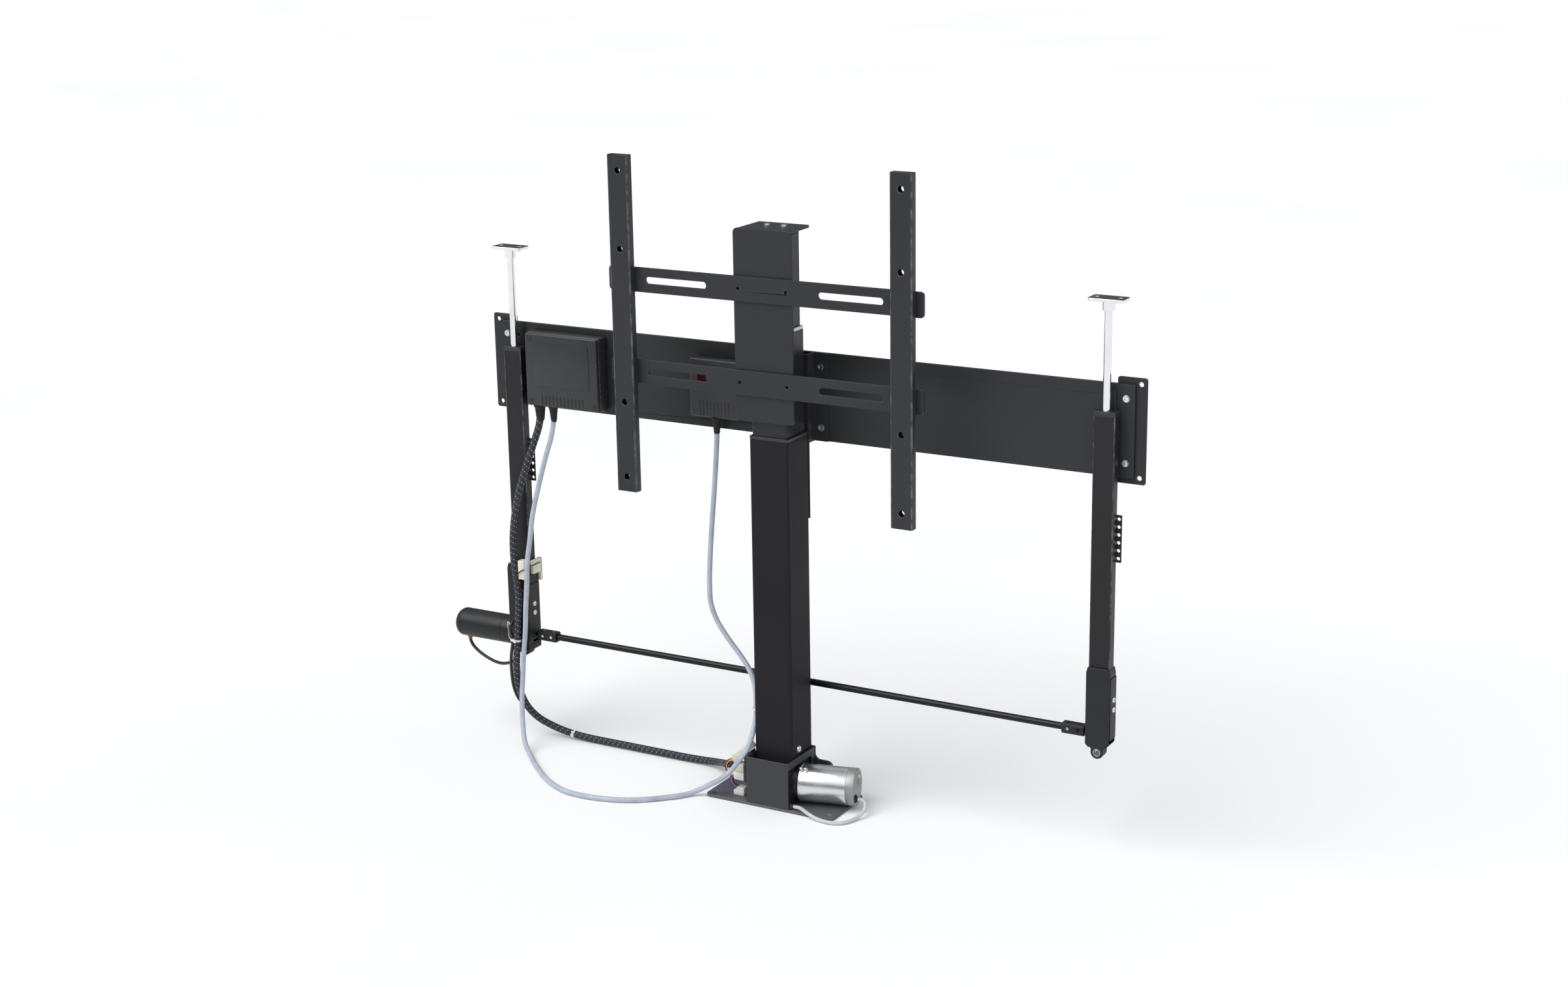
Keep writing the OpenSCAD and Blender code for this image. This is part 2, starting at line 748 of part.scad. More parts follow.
module screw(len) {
  cylinder(r = head_r, h = head_h);
  translate([0, 0, -len])
    cylinder(r = bolt_r - fit, h = len + eps);
}

module small_screw(len) {
  cylinder(r = head_r - 1, h = head_h - 0.4);
  translate([0, 0, -len])
    cylinder(r = bolt_r - 0.5 - fit, h = len + eps);
}

module frame_screws() {
  color("#d2d4d6") {
    for (sx = [-1, 1])
      translate([sx * col_w / 2, -10.5, col_base + 17])
        rotate([0, sx * 90, 0])
          screw(tube_wall + 5);
    for (sx = [-1, 1])
      translate([sx * (gusset_w / 2 - 20), clamp_y + 10, plate_t + gusset_t])
        screw(gusset_t + plate_t - 0.5);
    turned()
      can_studs(stud_r);
    for (sx = [-1, 1])
      for (sz = [-1, 1]) {
        translate([sx * (col_w / 2 + 9), rail_y - gusset_t, rail_mid + sz * rail_bolt_dz])
          rotate([90, 0, 0])
            screw(gusset_t + rail_t);
        translate([sx * act_x, plate_back_y, rail_mid + sz * rail_bolt_dz])
          rotate([-90, 0, 0])
            screw(strap_t + rail_t);
        translate([sx * end_bolt_x, rail_y, rail_mid + sz * rail_bolt_dz])
          rotate([90, 0, 0])
            screw(rail_t + gusset_t);
      }
    for (sx = [-1, 1])
      for (z = [rail_z - 82, rail_z - 12])
        translate([sx * 12, clamp_y + gusset_t, z])
          rotate([-90, 0, 0])
            screw(gusset_t + tube_wall - 0.2);
    for (sx = [-1, 1])
      for (z = strap_bolt_z)
        translate([sx * act_x, strap_y0 + strap_t, z])
          rotate([-90, 0, 0])
            screw(strap_t + 3.5);
    for (sx = [-1, 1])
      for (z = cover_screw_z)
        translate([sx * act_x + act_w / 2 + cover_t, face_mid(sx), z])
          rotate([0, 90, 0])
            small_screw(cover_t + 4);
  }
}

module cross_rail() {
  color("#3b3c40")
    difference() {
      union() {
        box([-rail_w / 2, rail_w / 2], [rail_y, plate_back_y], [rail_z, rail_top]);
        for (z = [rail_z + 28, rail_top - 28])
          rod_x([-rail_w / 2 + 30, rail_w / 2 - 30], plate_back_y - 0.5, z, 1.5);
      }
      rail_bolt_holes([rail_y - 2, plate_back_y + 1]);
      strap_rail_holes([rail_y - 2, plate_back_y + 1]);
      end_bolt_holes([rail_y - 2, plate_back_y + 1]);
    }
}

module end_plates() {
  color("#3b3c40")
    difference() {
      for (sx = [-1, 1])
        translate([sx * (end_x - end_plate_w / 2), plate_back_y + gusset_t, rail_mid])
          rotate([90, 0, 0])
            linear_extrude(gusset_t)
              rounded_rect(end_plate_w, end_plate_h, 3);
      end_bolt_holes([plate_back_y - 1, plate_back_y + gusset_t + 1]);
      for (sx = [-1, 1])
        for (sz = [-1, 1])
          rod_y(sx * end_hole_x, [plate_back_y - 1, plate_back_y + gusset_t + 1], rail_mid + sz * end_hole_dz,
            end_hole_d / 2);
    }
}

module column_clamp() {
  half = col_w / 2;
  color("#3b3c40")
    difference() {
      union() {
        box([-half, half], [clamp_y, clamp_y + gusset_t], [rail_z - clamp_low, rail_top]);
        for (sx = [-1, 1]) {
          translate([sx * (half - gusset_t / 2), 0, 0])
            box([-gusset_t / 2, gusset_t / 2], [clamp_y, rail_y], [rail_z, rail_top]);
          translate([sx * (half + 8), 0, 0])
            box([-11, 11], [rail_y - gusset_t, rail_y], [rail_z, rail_top]);
        }
      }
      clamp_bolt_holes([clamp_y - 1, clamp_y + gusset_t + 1]);
      rail_bolt_holes([rail_y - gusset_t - 1, rail_y + 1]);
    }
}

module actuator_straps() {
  color("#3b3c40")
    difference() {
      for (sx = [-1, 1])
        translate([sx * act_x, strap_y0, 0])
          box([-strap_w / 2, strap_w / 2], [0, strap_t], [act_z + 46, rail_top - 8]);
      strap_rail_holes([strap_y0 - 1, strap_y0 + strap_t + 1]);
      strap_housing_holes([strap_y0 - 1, strap_y0 + strap_t + 1]);
    }
}

// Lid actuators.
module housing_shape(low, tall) {
  half = act_w / 2;
  z0 = act_z - low;
  z1 = act_top + tall;
  polygon([
    [-half + 4, z0], [half - 6, z0], [half, z0 + 6], [half, z1 - 7], [half - 2, z1],
    [-half + 2, z1], [-half, z1 - 7], [-half, z0 + 4]
  ]);
}

module gear_housing(c) {
  half = act_w / 2;
  lug_y = act_y - act_d / 2;
  low = c < 0 ? left_low : right_low;
  tall = c < 0 ? left_tall : 0;
  color("#434448")
    difference() {
      translate([c, 0, 0])
        union() {
          translate([0, act_y + act_d / 2, 0])
            rotate([90, 0, 0])
              linear_extrude(act_y + act_d / 2 - front_of(c))
                housing_shape(low, tall);
          rod_y(0, [lug_y, lug_y + lug_deep], lug_z, lug_r);
          box([-lug_r, lug_r], [lug_y, lug_y + lug_deep], [lug_z, act_z + 1]);
        }
      translate([c, 0, 0]) {
        rod_y(0, [front_of(c) - 1, lug_y + lug_deep + 1], lug_z, lug_bore_d / 2 + 1);
        box([-chamber_x, half + 1], [act_y - chamber_y, act_y + chamber_y], [chamber_z, chamber_z + chamber_h]);
        rod_x([-half - 1, 0], act_y, shaft_z, bevel_shaft_d / 2 + 0.3);
        rod_z(0, act_y, [chamber_z + chamber_h - 1, chamber_z + chamber_h + spindle_seat], bearing_r);
        rod_z(0, act_y, [chamber_z + chamber_h, act_top + 1], spindle_d / 2 + 1);
        translate([0, act_y, flat_z])
          linear_extrude(flat_seat + tall + 1)
            square([flat_w + fit, flat_d + fit], center = true);
      }
      if (c < 0)
        box([c + flat_w / 2, c + half + 1], [front_of(c) - 1, strap_y0 + 1], [shoulder_z, act_top + tall + 1]);
      cover_screw_holes(c, [half - 5, half + 1]);
      strap_housing_holes([strap_y0 - 4, strap_y0 + 1]);
    }
}

module side_covers() {
  half = act_w / 2;
  color("#434448")
    for (c = [-act_x, act_x])
      difference() {
        box([c + half, c + half + cover_t], [front_of(c) + 1, act_y + act_d / 2 - 1], [act_z + 8, cover_top]);
        rod_x([c + half - 1, c + half + cover_t + 1], act_y, shaft_z, bevel_shaft_d / 2 + 0.3);
        cover_screw_holes(c, [half - 1, half + cover_t + 1]);
      }
}

module actuator_tubes() {
  color("#3d3e42")
    for (c = [-act_x, act_x])
      translate([c, act_y, flat_z])
        difference() {
          linear_extrude(flat_len)
            rounded_rect(flat_w, flat_d, 1.5);
          translate([0, 0, -1])
            linear_extrude(flat_len + 2)
              square([flat_w - 2 * flat_wall, flat_d - 2 * flat_wall], center = true);
        }
}

module rod_guides() {
  color("#242426")
    for (c = [-act_x, act_x])
      translate([c, act_y, 0])
        difference() {
          union() {
            translate([0, 0, flat_top - guide_h])
              linear_extrude(guide_h + 1)
                square([flat_w - 2 * flat_wall - fit, flat_d - 2 * flat_wall - fit], center = true);
            translate([0, 0, flat_top])
              linear_extrude(guide_rim)
                rounded_rect(flat_w, flat_d, 1.5);
          }
          rod_z(0, 0, [flat_top - guide_h - 1, flat_top + guide_rim + 1], rod_d / 2 + run_clear);
        }
}

module tube_strips() {
  y0 = flat_y0 + flat_d;
  color("#48494d")
    for (c = [-act_x, act_x])
      difference() {
        box([c, c + strip_w], [y0, y0 + sheet_t], [strip_z0, strip_z0 + 6 * strip_pitch]);
        for (i = [0:5])
          rod_y(c + strip_w - 3.7, [y0 - 1, y0 + sheet_t + 1], strip_z0 + (i + 0.5) * strip_pitch, 2.2);
      }
}

module lug_bushes() {
  front = act_y - act_d / 2;
  color("#b9bcbf")
    for (c = [-act_x, act_x])
      difference() {
        rod_y(c, [front, front + lug_deep], lug_z, lug_bore_d / 2 + 1 - fit / 2);
        rod_y(c, [front - 1, front + lug_deep + 1], lug_z, lug_bore_d / 2);
      }
}

module spindle_bearings() {
  color("#c9ccd0")
    for (c = [-act_x, act_x])
      translate([c, act_y, chamber_z + chamber_h + 1])
        bearing(bearing_r, spindle_d / 2, bearing_h);
}

module lid_motor() {
  x0 = -act_x - act_w / 2 - lid_motor_len;
  r = lid_motor_d / 2;
  soft = 9;
  color("#35363a")
    difference() {
      translate([x0, act_y, shaft_z])
        rotate([0, 90, 0])
          rotate_extrude()
            union() {
              translate([0, soft])
                square([r, lid_motor_len - soft]);
              square([r - soft, lid_motor_len]);
              intersection() {
                translate([r - soft, soft])
                  circle(r = soft);
                square([r, soft]);
              }
            }
      rod_x([x0 + lid_motor_len - 40, x0 + lid_motor_len + 1], act_y, shaft_z, bevel_shaft_d / 2 + run_clear);
    }
}

// Electric parts.
module control_box() {
  color("#2b2c2f") {
    box(box_x, [box_y + 6, rail_y - 1], box_z);
    box([box_x[0] + 1, box_x[1] - 1], [box_y, box_y + 6], [box_z[0] + 1, box_z[1] - 1]);
    box([box_x[0] + 8, box_x[1] - 8], [rail_y - 1, rail_y], [rail_z + 34, rail_top - 34]);
  }
}

module receiver_box() {
  color("#2b2c2f") {
    box(hub_x, [hub_y, rail_y - 1], hub_z);
    box([hub_x[0] + 8, hub_x[1] - 8], [rail_y - 1, rail_y], [rail_z + 34, rail_top - 34]);
  }
}

module slanted(half, wide, high) {
  translate(slant_at)
    rotate([0, -slant, 0])
      box([-half, half], [-wide, wide], [0, high]);
}

module connectors() {
  face = -act_x + act_w / 2;
  top = act_top + left_tall;
  back = act_y + act_d / 2;
  side_x = [-act_x + flat_w / 2 + 0.3, -act_x + flat_w / 2 + 6];
  color("#e8e2d0") {
    for (z = plug_z)
      box(plug_x, plug_y, [z, z + plug_h]);
    slanted(slant_half, 7, 10);
    box([col_w / 2 + 0.3, housing_w / 2 + 4.5], lead_y, [plate_t, plate_t + 7.5]);
    box(side_x, [flat_y0, back + 3], [shoulder_z + 0.3, top + 4]);
    box(side_x, [back + 0.3, back + 5], [shoulder_z - 13, top + 4]);
    box([face - 5.3, face + 5.7], [front_of(-1) - 11.5, front_of(-1) - 0.3], [top - 17, top + 10]);
  }
}

module connector_clip() {
  color("#222224")
    difference() {
      box([clip_x, -housing_w / 2], [-30, -20], [24, 72]);
      slanted(slant_half + 3, 8, 12);
    }
}

module wire_loop(y, z, r) {
  translate([plug_x[0], y, z])
    rotate([90, 0, 0])
      rotate([0, 0, 90])
        rotate_extrude(angle = 180)
          translate([r, 0])
            circle(r = 0.8, $fn = 16);
}

module connector_wires() {
  color("#c86a2e") {
    difference() {
      union() {
        wire_loop(-31.2, 42, 10.2);
        wire_loop(-31.2, 42, 12.2);
        wire_loop(-18.6, 42, 9.6);
      }
      slanted(slant_half + 0.25, 8, 12);
    }
    wire_loop(-30.6, 20.5, 7.6);
    wire_loop(-28.4, 20.5, 8.6);
    wire_loop(-22, 20.5, 8.6);
    wire_loop(-19.6, 20.5, 7.6);
  }
}

module tie(at, turn, d) {
  translate(at)
    rotate(turn)
      difference() {
        cylinder(r = d / 2 + 0.6, h = 3, center = true);
        cylinder(r = d / 2 + 0.1, h = 5, center = true);
      }
}

module cable_ties() {
  color("#f1f1ee") {
    tie([lay_x(-368), 48.08, 8.35], [0, 96.6, 3.3], sleeve_d);
    tie([lay_x(-431), 8.5, 151], [0, 5, 0], sleeve_d);
    tie(lay([tie_lead])[0], [4.4, 0, 0], switch_lead_d);
    tie([-32.5, -15, 124], [0, 0, 0], grey_d);
  }
}

module grey_cable() {
  color("#b4bac2")
    tube_along(grey_path, grey_d);
}

module braided_sleeve() {
  color("#1f2022")
    tube_along(sleeve_path, sleeve_d);
}

module lid_motor_cable() {
  color("#1f2022") {
    tube_along(lid_cable_path, lid_cable_d);
    tube_along(switch_lead_path, switch_lead_d);
  }
}

module lift_motor_cable() {
  color("#9ba1a8")
    tube_along(lift_cable_path, lift_cable_d);
}

// Middle stage.
module middle_tube() {
  color("#47484c")
    translate([0, 0, mid_z])
      square_tube(mid_w, tube_wall, mid_r, mid_len);
}

module foot_block(w, h, z, r) {
  translate([0, 0, z])
    linear_extrude(h)
      rounded_rect(w - fit, w - fit, r);
}

module middle_foot() {
  color("#9a9da0")
    difference() {
      foot_block(mid_in, mid_foot_h, mid_z, mid_r - tube_wall + 0.6);
      rod_z(0, 0, [mid_z - 1, mid_z + nut_h], screw_d);
      rod_z(0, 0, [mid_z, mid_z + mid_foot_h + 1], screw_d / 2 + 1);
      rod_z(0, 0, [stage_screw_foot - eps, mid_z + mid_foot_h + 1], stage_collar_r);
    }
}

module lift_nut() {
  color("#b08d3c")
    difference() {
      rod_z(0, 0, [mid_z, mid_z + nut_h - fit], screw_d - fit / 2);
      rod_z(0, 0, [mid_z - 1, mid_z + nut_h + 1], screw_d / 2 + run_clear);
    }
}

module glide_ring(tube_out, tube_in, z) {
  translate([0, 0, z])
    difference() {
      linear_extrude(glide_h)
        rounded_rect(tube_in - 2 * glide_clear, tube_in - 2 * glide_clear, mid_r - 0.5);
      translate([0, 0, -1])
        linear_extrude(glide_h + 2)
          rounded_rect(tube_out + fit, tube_out + fit, mid_r - 1);
    }
}

module middle_glides() {
  color("#dcdcd6") {
    glide_ring(mid_w, col_in, mid_z);
    collar(mid_w, mid_in, inner_w, mid_top);
  }
}

module stage_bearing() {
  color("#a9823a")
    translate([0, 0, stage_screw_foot])
      bearing(stage_collar_r, stage_screw_d / 2, mid_foot_h - nut_h - 4);
}

// Inner stage with the screen bracket.
module inner_tube() {
  color("#515256")
    translate([0, 0, inner_z])
      square_tube(inner_w, tube_wall, inner_r, inner_len);
}

module inner_foot() {
  color("#9a9da0")
    difference() {
      foot_block(inner_in, inner_foot_h, inner_z, 0.6);
      rod_z(0, 0, [inner_z - 1, inner_z + stage_nut_h], stage_screw_d / 2 + 5);
      rod_z(0, 0, [inner_z, inner_z + inner_foot_h + 1], stage_screw_d / 2 + 1);
    }
}

module stage_nut() {
  color("#b08d3c")
    difference() {
      rod_z(0, 0, [inner_z, inner_z + stage_nut_h - fit], stage_screw_d / 2 + 5 - fit / 2);
      rod_z(0, 0, [inner_z - 1, inner_z + stage_nut_h + 1], stage_screw_d / 2 + run_clear);
    }
}

module inner_glide() {
  color("#dcdcd6")
    glide_ring(inner_w, mid_in, inner_z);
}

module head_cap() {
  color("#3b3c40")
    difference() {
      union() {
        translate([0, 0, inner_top])
          linear_extrude(head_t)
            rounded_rect(inner_w, inner_w, inner_r);
        foot_block(inner_in, 26 + 1, inner_top - 26, 0.6);
      }
      head_bolt_holes([inner_top - 14, inner_top + head_t + 1]);
    }
}

module spine() {
  z0 = vesa_z - spine_low;
  z1 = inner_top + head_t + bracket_t;
  color("#3b3c40")
    difference() {
      union() {
        translate([0, spine_back, (z0 + z1) / 2])
          rotate([90, 0, 0])
            linear_extrude(bracket_t)
              rounded_rect(spine_w, z1 - z0, 6);
        box([-spine_w / 2 + 6, spine_w / 2 - 6], [bar_back, inner_w / 2], [inner_top + head_t, z1]);
      }
      head_bolt_holes([inner_top, z1 + 1]);
      bar_bolt_holes([bar_back - 1, spine_back + 1]);
    }
}

module cross_bars() {
  color("#3b3c40")
    difference() {
      for (z = bar_z)
        translate([0, bar_back, z])
          rotate([90, 0, 0])
            linear_extrude(bracket_t)
              rounded_rect(2 * bar_half, bar_h, 5);
      bar_bolt_holes([arm_back - 1, bar_back + 1]);
      arm_bolt_holes([arm_back - 1, bar_back + 1]);
      for (sx = [-1, 1])
        for (z = bar_z)
          translate([sx * (vesa_x / 2 - 75), bar_back + 1, z])
            rotate([90, 0, 0])
              linear_extrude(bracket_t + 2)
                rounded_rect(90, 9, 4.4);
    }
}

module arm(c) {
  z0 = vesa_z - arm_len / 2;
  color("#3b3c40")
    difference() {
      translate([c, arm_back - arm_d / 2, z0])
        linear_extrude(arm_len)
          rounded_rect(arm_w, arm_d, 2);
      translate([c, arm_back - arm_d / 2, z0 - 1])
        linear_extrude(arm_len + 2)
          square([arm_w - 2 * sheet_t, arm_d - 2 * sheet_t], center = true);
      for (dz = [-vesa_y / 2, -vesa_mid / 2, vesa_mid / 2, vesa_y / 2])
        rod_y(c, [arm_back - arm_d - 1, arm_back + 1], vesa_z + dz, vesa_hole_d / 2);
      arm_bolt_holes([arm_back - sheet_t - 1, arm_back + 1]);
    }
}

module bracket_screws() {
  color("#d2d4d6") {
    for (sx = [-1, 1])
      translate([sx * 12, 0, inner_top + head_t + bracket_t])
        screw(bracket_t + head_t + 6);
    for (sx = [-1, 1])
      for (z = bar_z) {
        translate([sx * spine_bolt_x, spine_back, z])
          rotate([-90, 0, 0])
            screw(2 * bracket_t);
        translate([sx * vesa_x / 2, bar_back, z])
          rotate([-90, 0, 0])
            screw(bracket_t + sheet_t);
      }
  }
}

// Turning pieces of the lift.
module lift_screw() {
  color("#a7abb0")
    difference() {
      rod_z(0, 0, [screw_foot, screw_top], screw_d / 2);
      for (sx = [-1, 1])
        translate([sx * screw_d / 2, 0, mid_z - lift_down])
          linear_extrude(screw_top)
            square([2.8, key_w], center = true);
    }
}

module worm_wheel() {
  wide = 14;
  color("#b08d3c")
    translate([0, 0, motor_z - wide / 2])
      difference() {
        cylinder(r = wheel_r - 0.1, h = wide);
        translate([0, 0, -1])
          cylinder(r = screw_d / 2, h = wide + 2);
        for (i = [0:wheel_teeth - 1])
          rotate([0, 0, 360 * i / wheel_teeth])
            translate([wheel_r, 0, -1])
              linear_extrude(wide + 2)
                square([2.2, wheel_r * 0.13], center = true);
      }
}

module stage_screw() {
  bore = screw_d / 2 + screw_gap;
  color("#a7abb0") {
    difference() {
      union() {
        rod_z(0, 0, [stage_screw_foot + 0.2, stage_screw_top], stage_screw_d / 2);
        rod_z(0, 0, [mid_z + mid_foot_h + 0.2, mid_z + mid_foot_h + screw_collar_h], stage_collar_r);
      }
      rod_z(0, 0, [stage_screw_foot - 1, stage_screw_top + 1], bore);
    }
    for (sx = [-1, 1])
      translate([sx * (bore - 0.1), 0, stage_screw_foot + 0.2])
        linear_extrude(screw_key_len)
          square([2, key_w - 0.6], center = true);
  }
}

module worm_shaft() {
  r = worm_d / 2 - 1;
  color("#9da1a6")
    turned()
      difference() {
        union() {
          rod_x([-worm_end, can_end + 9], motor_y, motor_z, r);
          rod_x([-13, 13], motor_y, motor_z, worm_d / 2 - 0.1);
          rod_x([nose_x + rotor_in, nose_x + rotor_in + rotor_len], motor_y, motor_z, motor_d / 2 - 14);
          rod_x([can_end - 10, can_end + 2], motor_y, motor_z, motor_d / 2 - 18);
        }
        for (i = [-3:3])
          difference() {
            rod_x([i * gear_mod * 3.2 - 0.8, i * gear_mod * 3.2 + 0.8], motor_y, motor_z, worm_d);
            rod_x([-worm_end, worm_end], motor_y, motor_z, r + 0.1);
          }
      }
}

// Turning and sliding pieces of the lid actuators.
module rod(c) {
  color("#cfd2d5")
    translate([c, act_y, 0])
      difference() {
        union() {
          rod_z(0, 0, [rod_foot + rod_nut_h - 1, rod_top], rod_d / 2);
          translate([0, 0, rod_foot])
            linear_extrude(rod_nut_h)
              rounded_rect(flat_w - 2 * flat_wall - 0.3, flat_d - 2 * flat_wall - 0.3, 1);
          rod_z(0, 0, [rod_top - 1, rod_top + lid_boss_h], 8);
          translate([0, 0, rod_top + lid_boss_h])
            linear_extrude(lid_plate_t)
              rounded_rect(2 * lid_hole_x + 16, 26, 4);
        }
        rod_z(0, 0, [rod_foot - 1, rod_foot + rod_nut_h], spindle_d / 2 + run_clear);
        rod_z(0, 0, [rod_foot + rod_nut_h - 1, spindle_top + lid_down + 6], spindle_d / 2 + 0.3);
        for (sx = [-1, 1])
          rod_z(sx * lid_hole_x, 0, [rod_top + lid_boss_h - 1, rod_top + lid_boss_h + lid_plate_t + 1], 2.75);
      }
}

module bevel(teeth) {
  difference() {
    cylinder(r1 = bevel_big, r2 = bevel_small, h = bevel_big - bevel_small);
    for (i = [0:teeth - 1])
      rotate([0, 0, 360 * i / teeth])
        translate([bevel_big, 0, 0])
          rotate([0, -45, 0])
            cube([1.2, 1.1, 14], center = true);
  }
}

module spindle(c) {
  color("#a7abb0")
    translate([c, act_y, 0])
      union() {
        rod_z(0, 0, [shaft_z + bevel_small + bevel_gap, spindle_top], spindle_d / 2);
        translate([0, 0, shaft_z + bevel_big + bevel_gap])
          rotate([180, 0, 0])
            bevel(16);
        rod_z(0, 0, [shaft_z + bevel_big + bevel_gap - eps, shaft_z + bevel_big + 5], 5.5);
      }
}

module bevel_shaft(c, x) {
  color("#a7abb0") {
    rod_x(x, act_y, shaft_z, bevel_shaft_d / 2);
    translate([c - bevel_big - bevel_gap, act_y, shaft_z])
      rotate([0, 90, 0])
        bevel(16);
  }
}

module cross_shaft() {
  x1 = coupler_x0 - coupler_grip;
  x2 = coupler_len - coupler_grip - coupler_x0;
  color("#232426")
    rod_x([coupler_shift + x2, -x2], act_y, shaft_z, shaft_d / 2);
  bevel_shaft(-act_x, [-act_x - act_w / 2 - 38, coupler_shift - x1]);
  bevel_shaft(act_x, [x1, act_x + act_w / 2 + cover_t]);
}

module coupler(x0, inner_end) {
  step = inner_end > 0 ? [x0 - 1, x0 + coupler_grip] : [x0 + coupler_len - coupler_grip, x0 + coupler_len + 1];
  far = inner_end > 0 ? [x0 + coupler_len - coupler_grip, x0 + coupler_len + 1] : [x0 - 1, x0 + coupler_grip];
  difference() {
    intersection() {
      box([x0, x0 + coupler_len], [act_y - coupler_w / 2, act_y + coupler_w / 2],
        [shaft_z - coupler_w / 2, shaft_z + coupler_w / 2]);
      rod_x([x0 - 1, x0 + coupler_len + 1], act_y, shaft_z, coupler_w * 0.62);
    }
    rod_x(step, act_y, shaft_z, shaft_d / 2);
    rod_x(far, act_y, shaft_z, bevel_shaft_d / 2);
    for (dx = [7, coupler_len - 7])
      rod_z(x0 + dx, act_y, [shaft_z + coupler_w / 2 - 1.5, shaft_z + coupler_w], 2.2);
    for (dx = [8, coupler_len - 8])
      rod_y(x0 + dx, [act_y - coupler_w, act_y - coupler_w / 2 + 1.8], shaft_z, 2.4);
  }
}

module shaft_couplers() {
  color("#2c2d30") {
    coupler(-coupler_x0 + coupler_shift, -1);
    coupler(coupler_x0 - coupler_len, 1);
  }
}

base_plate();
base_housing();
rear_gusset();
outer_column();
column_collar();
gearbox_body();
gearbox_cover();
gear_bearings();
motor_can();
motor_end_cap();
cable_grommet();
frame_screws();
cross_rail();
end_plates();
column_clamp();
actuator_straps();
gear_housing(-act_x);  // left_gear_housing
gear_housing(act_x);  // right_gear_housing
side_covers();
actuator_tubes();
rod_guides();
tube_strips();
lug_bushes();
spindle_bearings();
lid_motor();
control_box();
receiver_box();
connectors();
connector_clip();
connector_wires();
cable_ties();
grey_cable();
braided_sleeve();
lid_motor_cable();
lift_motor_cable();
middle_tube();
middle_foot();
lift_nut();
middle_glides();
stage_bearing();
inner_tube();
inner_foot();
stage_nut();
inner_glide();
head_cap();
spine();
cross_bars();
arm(-vesa_x / 2);  // left_arm
arm(vesa_x / 2);  // right_arm
bracket_screws();
lift_screw();
worm_wheel();
stage_screw();
worm_shaft();
rod(-act_x);  // left_rod
rod(act_x);  // right_rod
spindle(-act_x);  // left_spindle
spindle(act_x);  // right_spindle
cross_shaft();
shaft_couplers();
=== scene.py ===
"""Looks of the screen lift: a telescopic column, its screen bracket, the rear rail and the lid actuators.

Sizes in this file are millimetres in the part's own frame, X to the right, Y to the back and Z up.
Meshes are stored in metres, with every object at the origin.
"""

import logging
import math
from dataclasses import dataclass, field
from enum import Enum
from typing import Optional, Sequence, Union

import bmesh
import bpy
import numpy as np
from mathutils import Matrix, Vector

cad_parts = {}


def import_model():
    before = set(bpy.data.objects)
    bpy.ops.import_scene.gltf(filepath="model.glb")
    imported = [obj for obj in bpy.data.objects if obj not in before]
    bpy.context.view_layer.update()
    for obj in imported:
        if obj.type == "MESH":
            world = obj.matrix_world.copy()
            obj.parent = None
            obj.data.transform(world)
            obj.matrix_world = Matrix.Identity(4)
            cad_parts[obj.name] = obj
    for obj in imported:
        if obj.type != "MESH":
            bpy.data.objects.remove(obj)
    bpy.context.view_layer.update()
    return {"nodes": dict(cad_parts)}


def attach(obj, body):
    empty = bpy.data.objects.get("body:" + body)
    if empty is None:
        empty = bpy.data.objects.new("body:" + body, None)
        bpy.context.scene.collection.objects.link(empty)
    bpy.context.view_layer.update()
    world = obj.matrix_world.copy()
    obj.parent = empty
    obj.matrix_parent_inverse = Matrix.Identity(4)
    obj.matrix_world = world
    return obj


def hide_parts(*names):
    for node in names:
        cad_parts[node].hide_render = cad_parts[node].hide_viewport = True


LOG = logging.getLogger("screen_lift")
MM = 0.001
# The most of a block's thinnest side that a rounded edge takes.
EDGE_SHARE = 0.45
# Edges sharper than these stay sharp, in degrees: on mouldings, turned pieces, tubes, screws and ribs.
MOULDED_EDGE, TURNED_EDGE, TUBE_EDGE, SCREW_EDGE, RIB_EDGE = 38.0, 28.0, 60.0, 30.0, 40.0
Point = tuple[float, float, float]
Span = tuple[float, float]
Colour = tuple[float, float, float]
Obj, Mesh, Tree = bpy.types.Object, bpy.types.Mesh, bpy.types.NodeTree
Node, Socket = bpy.types.Node, bpy.types.NodeSocket
Value = Union[Socket, float, Colour]


class Body(Enum):
    """The bodies that pieces ride on."""

    FRAME = "frame"
    MIDDLE = "middle_stage"
    INNER = "inner_stage"
    LEFT_ROD = "left_rod_set"
    RIGHT_ROD = "right_rod_set"
    CROSS_SHAFT = "cross_shaft_set"


class Slot(Enum):
    """The record's material slots."""

    POWDER = "powder_black"
    CAST_BLACK = "cast_black"
    CAST_GREY = "cast_grey"
    ZINC = "zinc"
    STEEL = "steel"
    CHROME = "rod_chrome"
    BRONZE = "bronze"
    PLASTIC = "black_plastic"
    RUBBER = "black_rubber"
    NYLON = "glide_nylon"
    CREAM = "cream_plastic"
    WIRE = "wire_skin"
    GREY_SKIN = "grey_skin"
    BLACK_SKIN = "black_skin"
    BRAID = "braid"


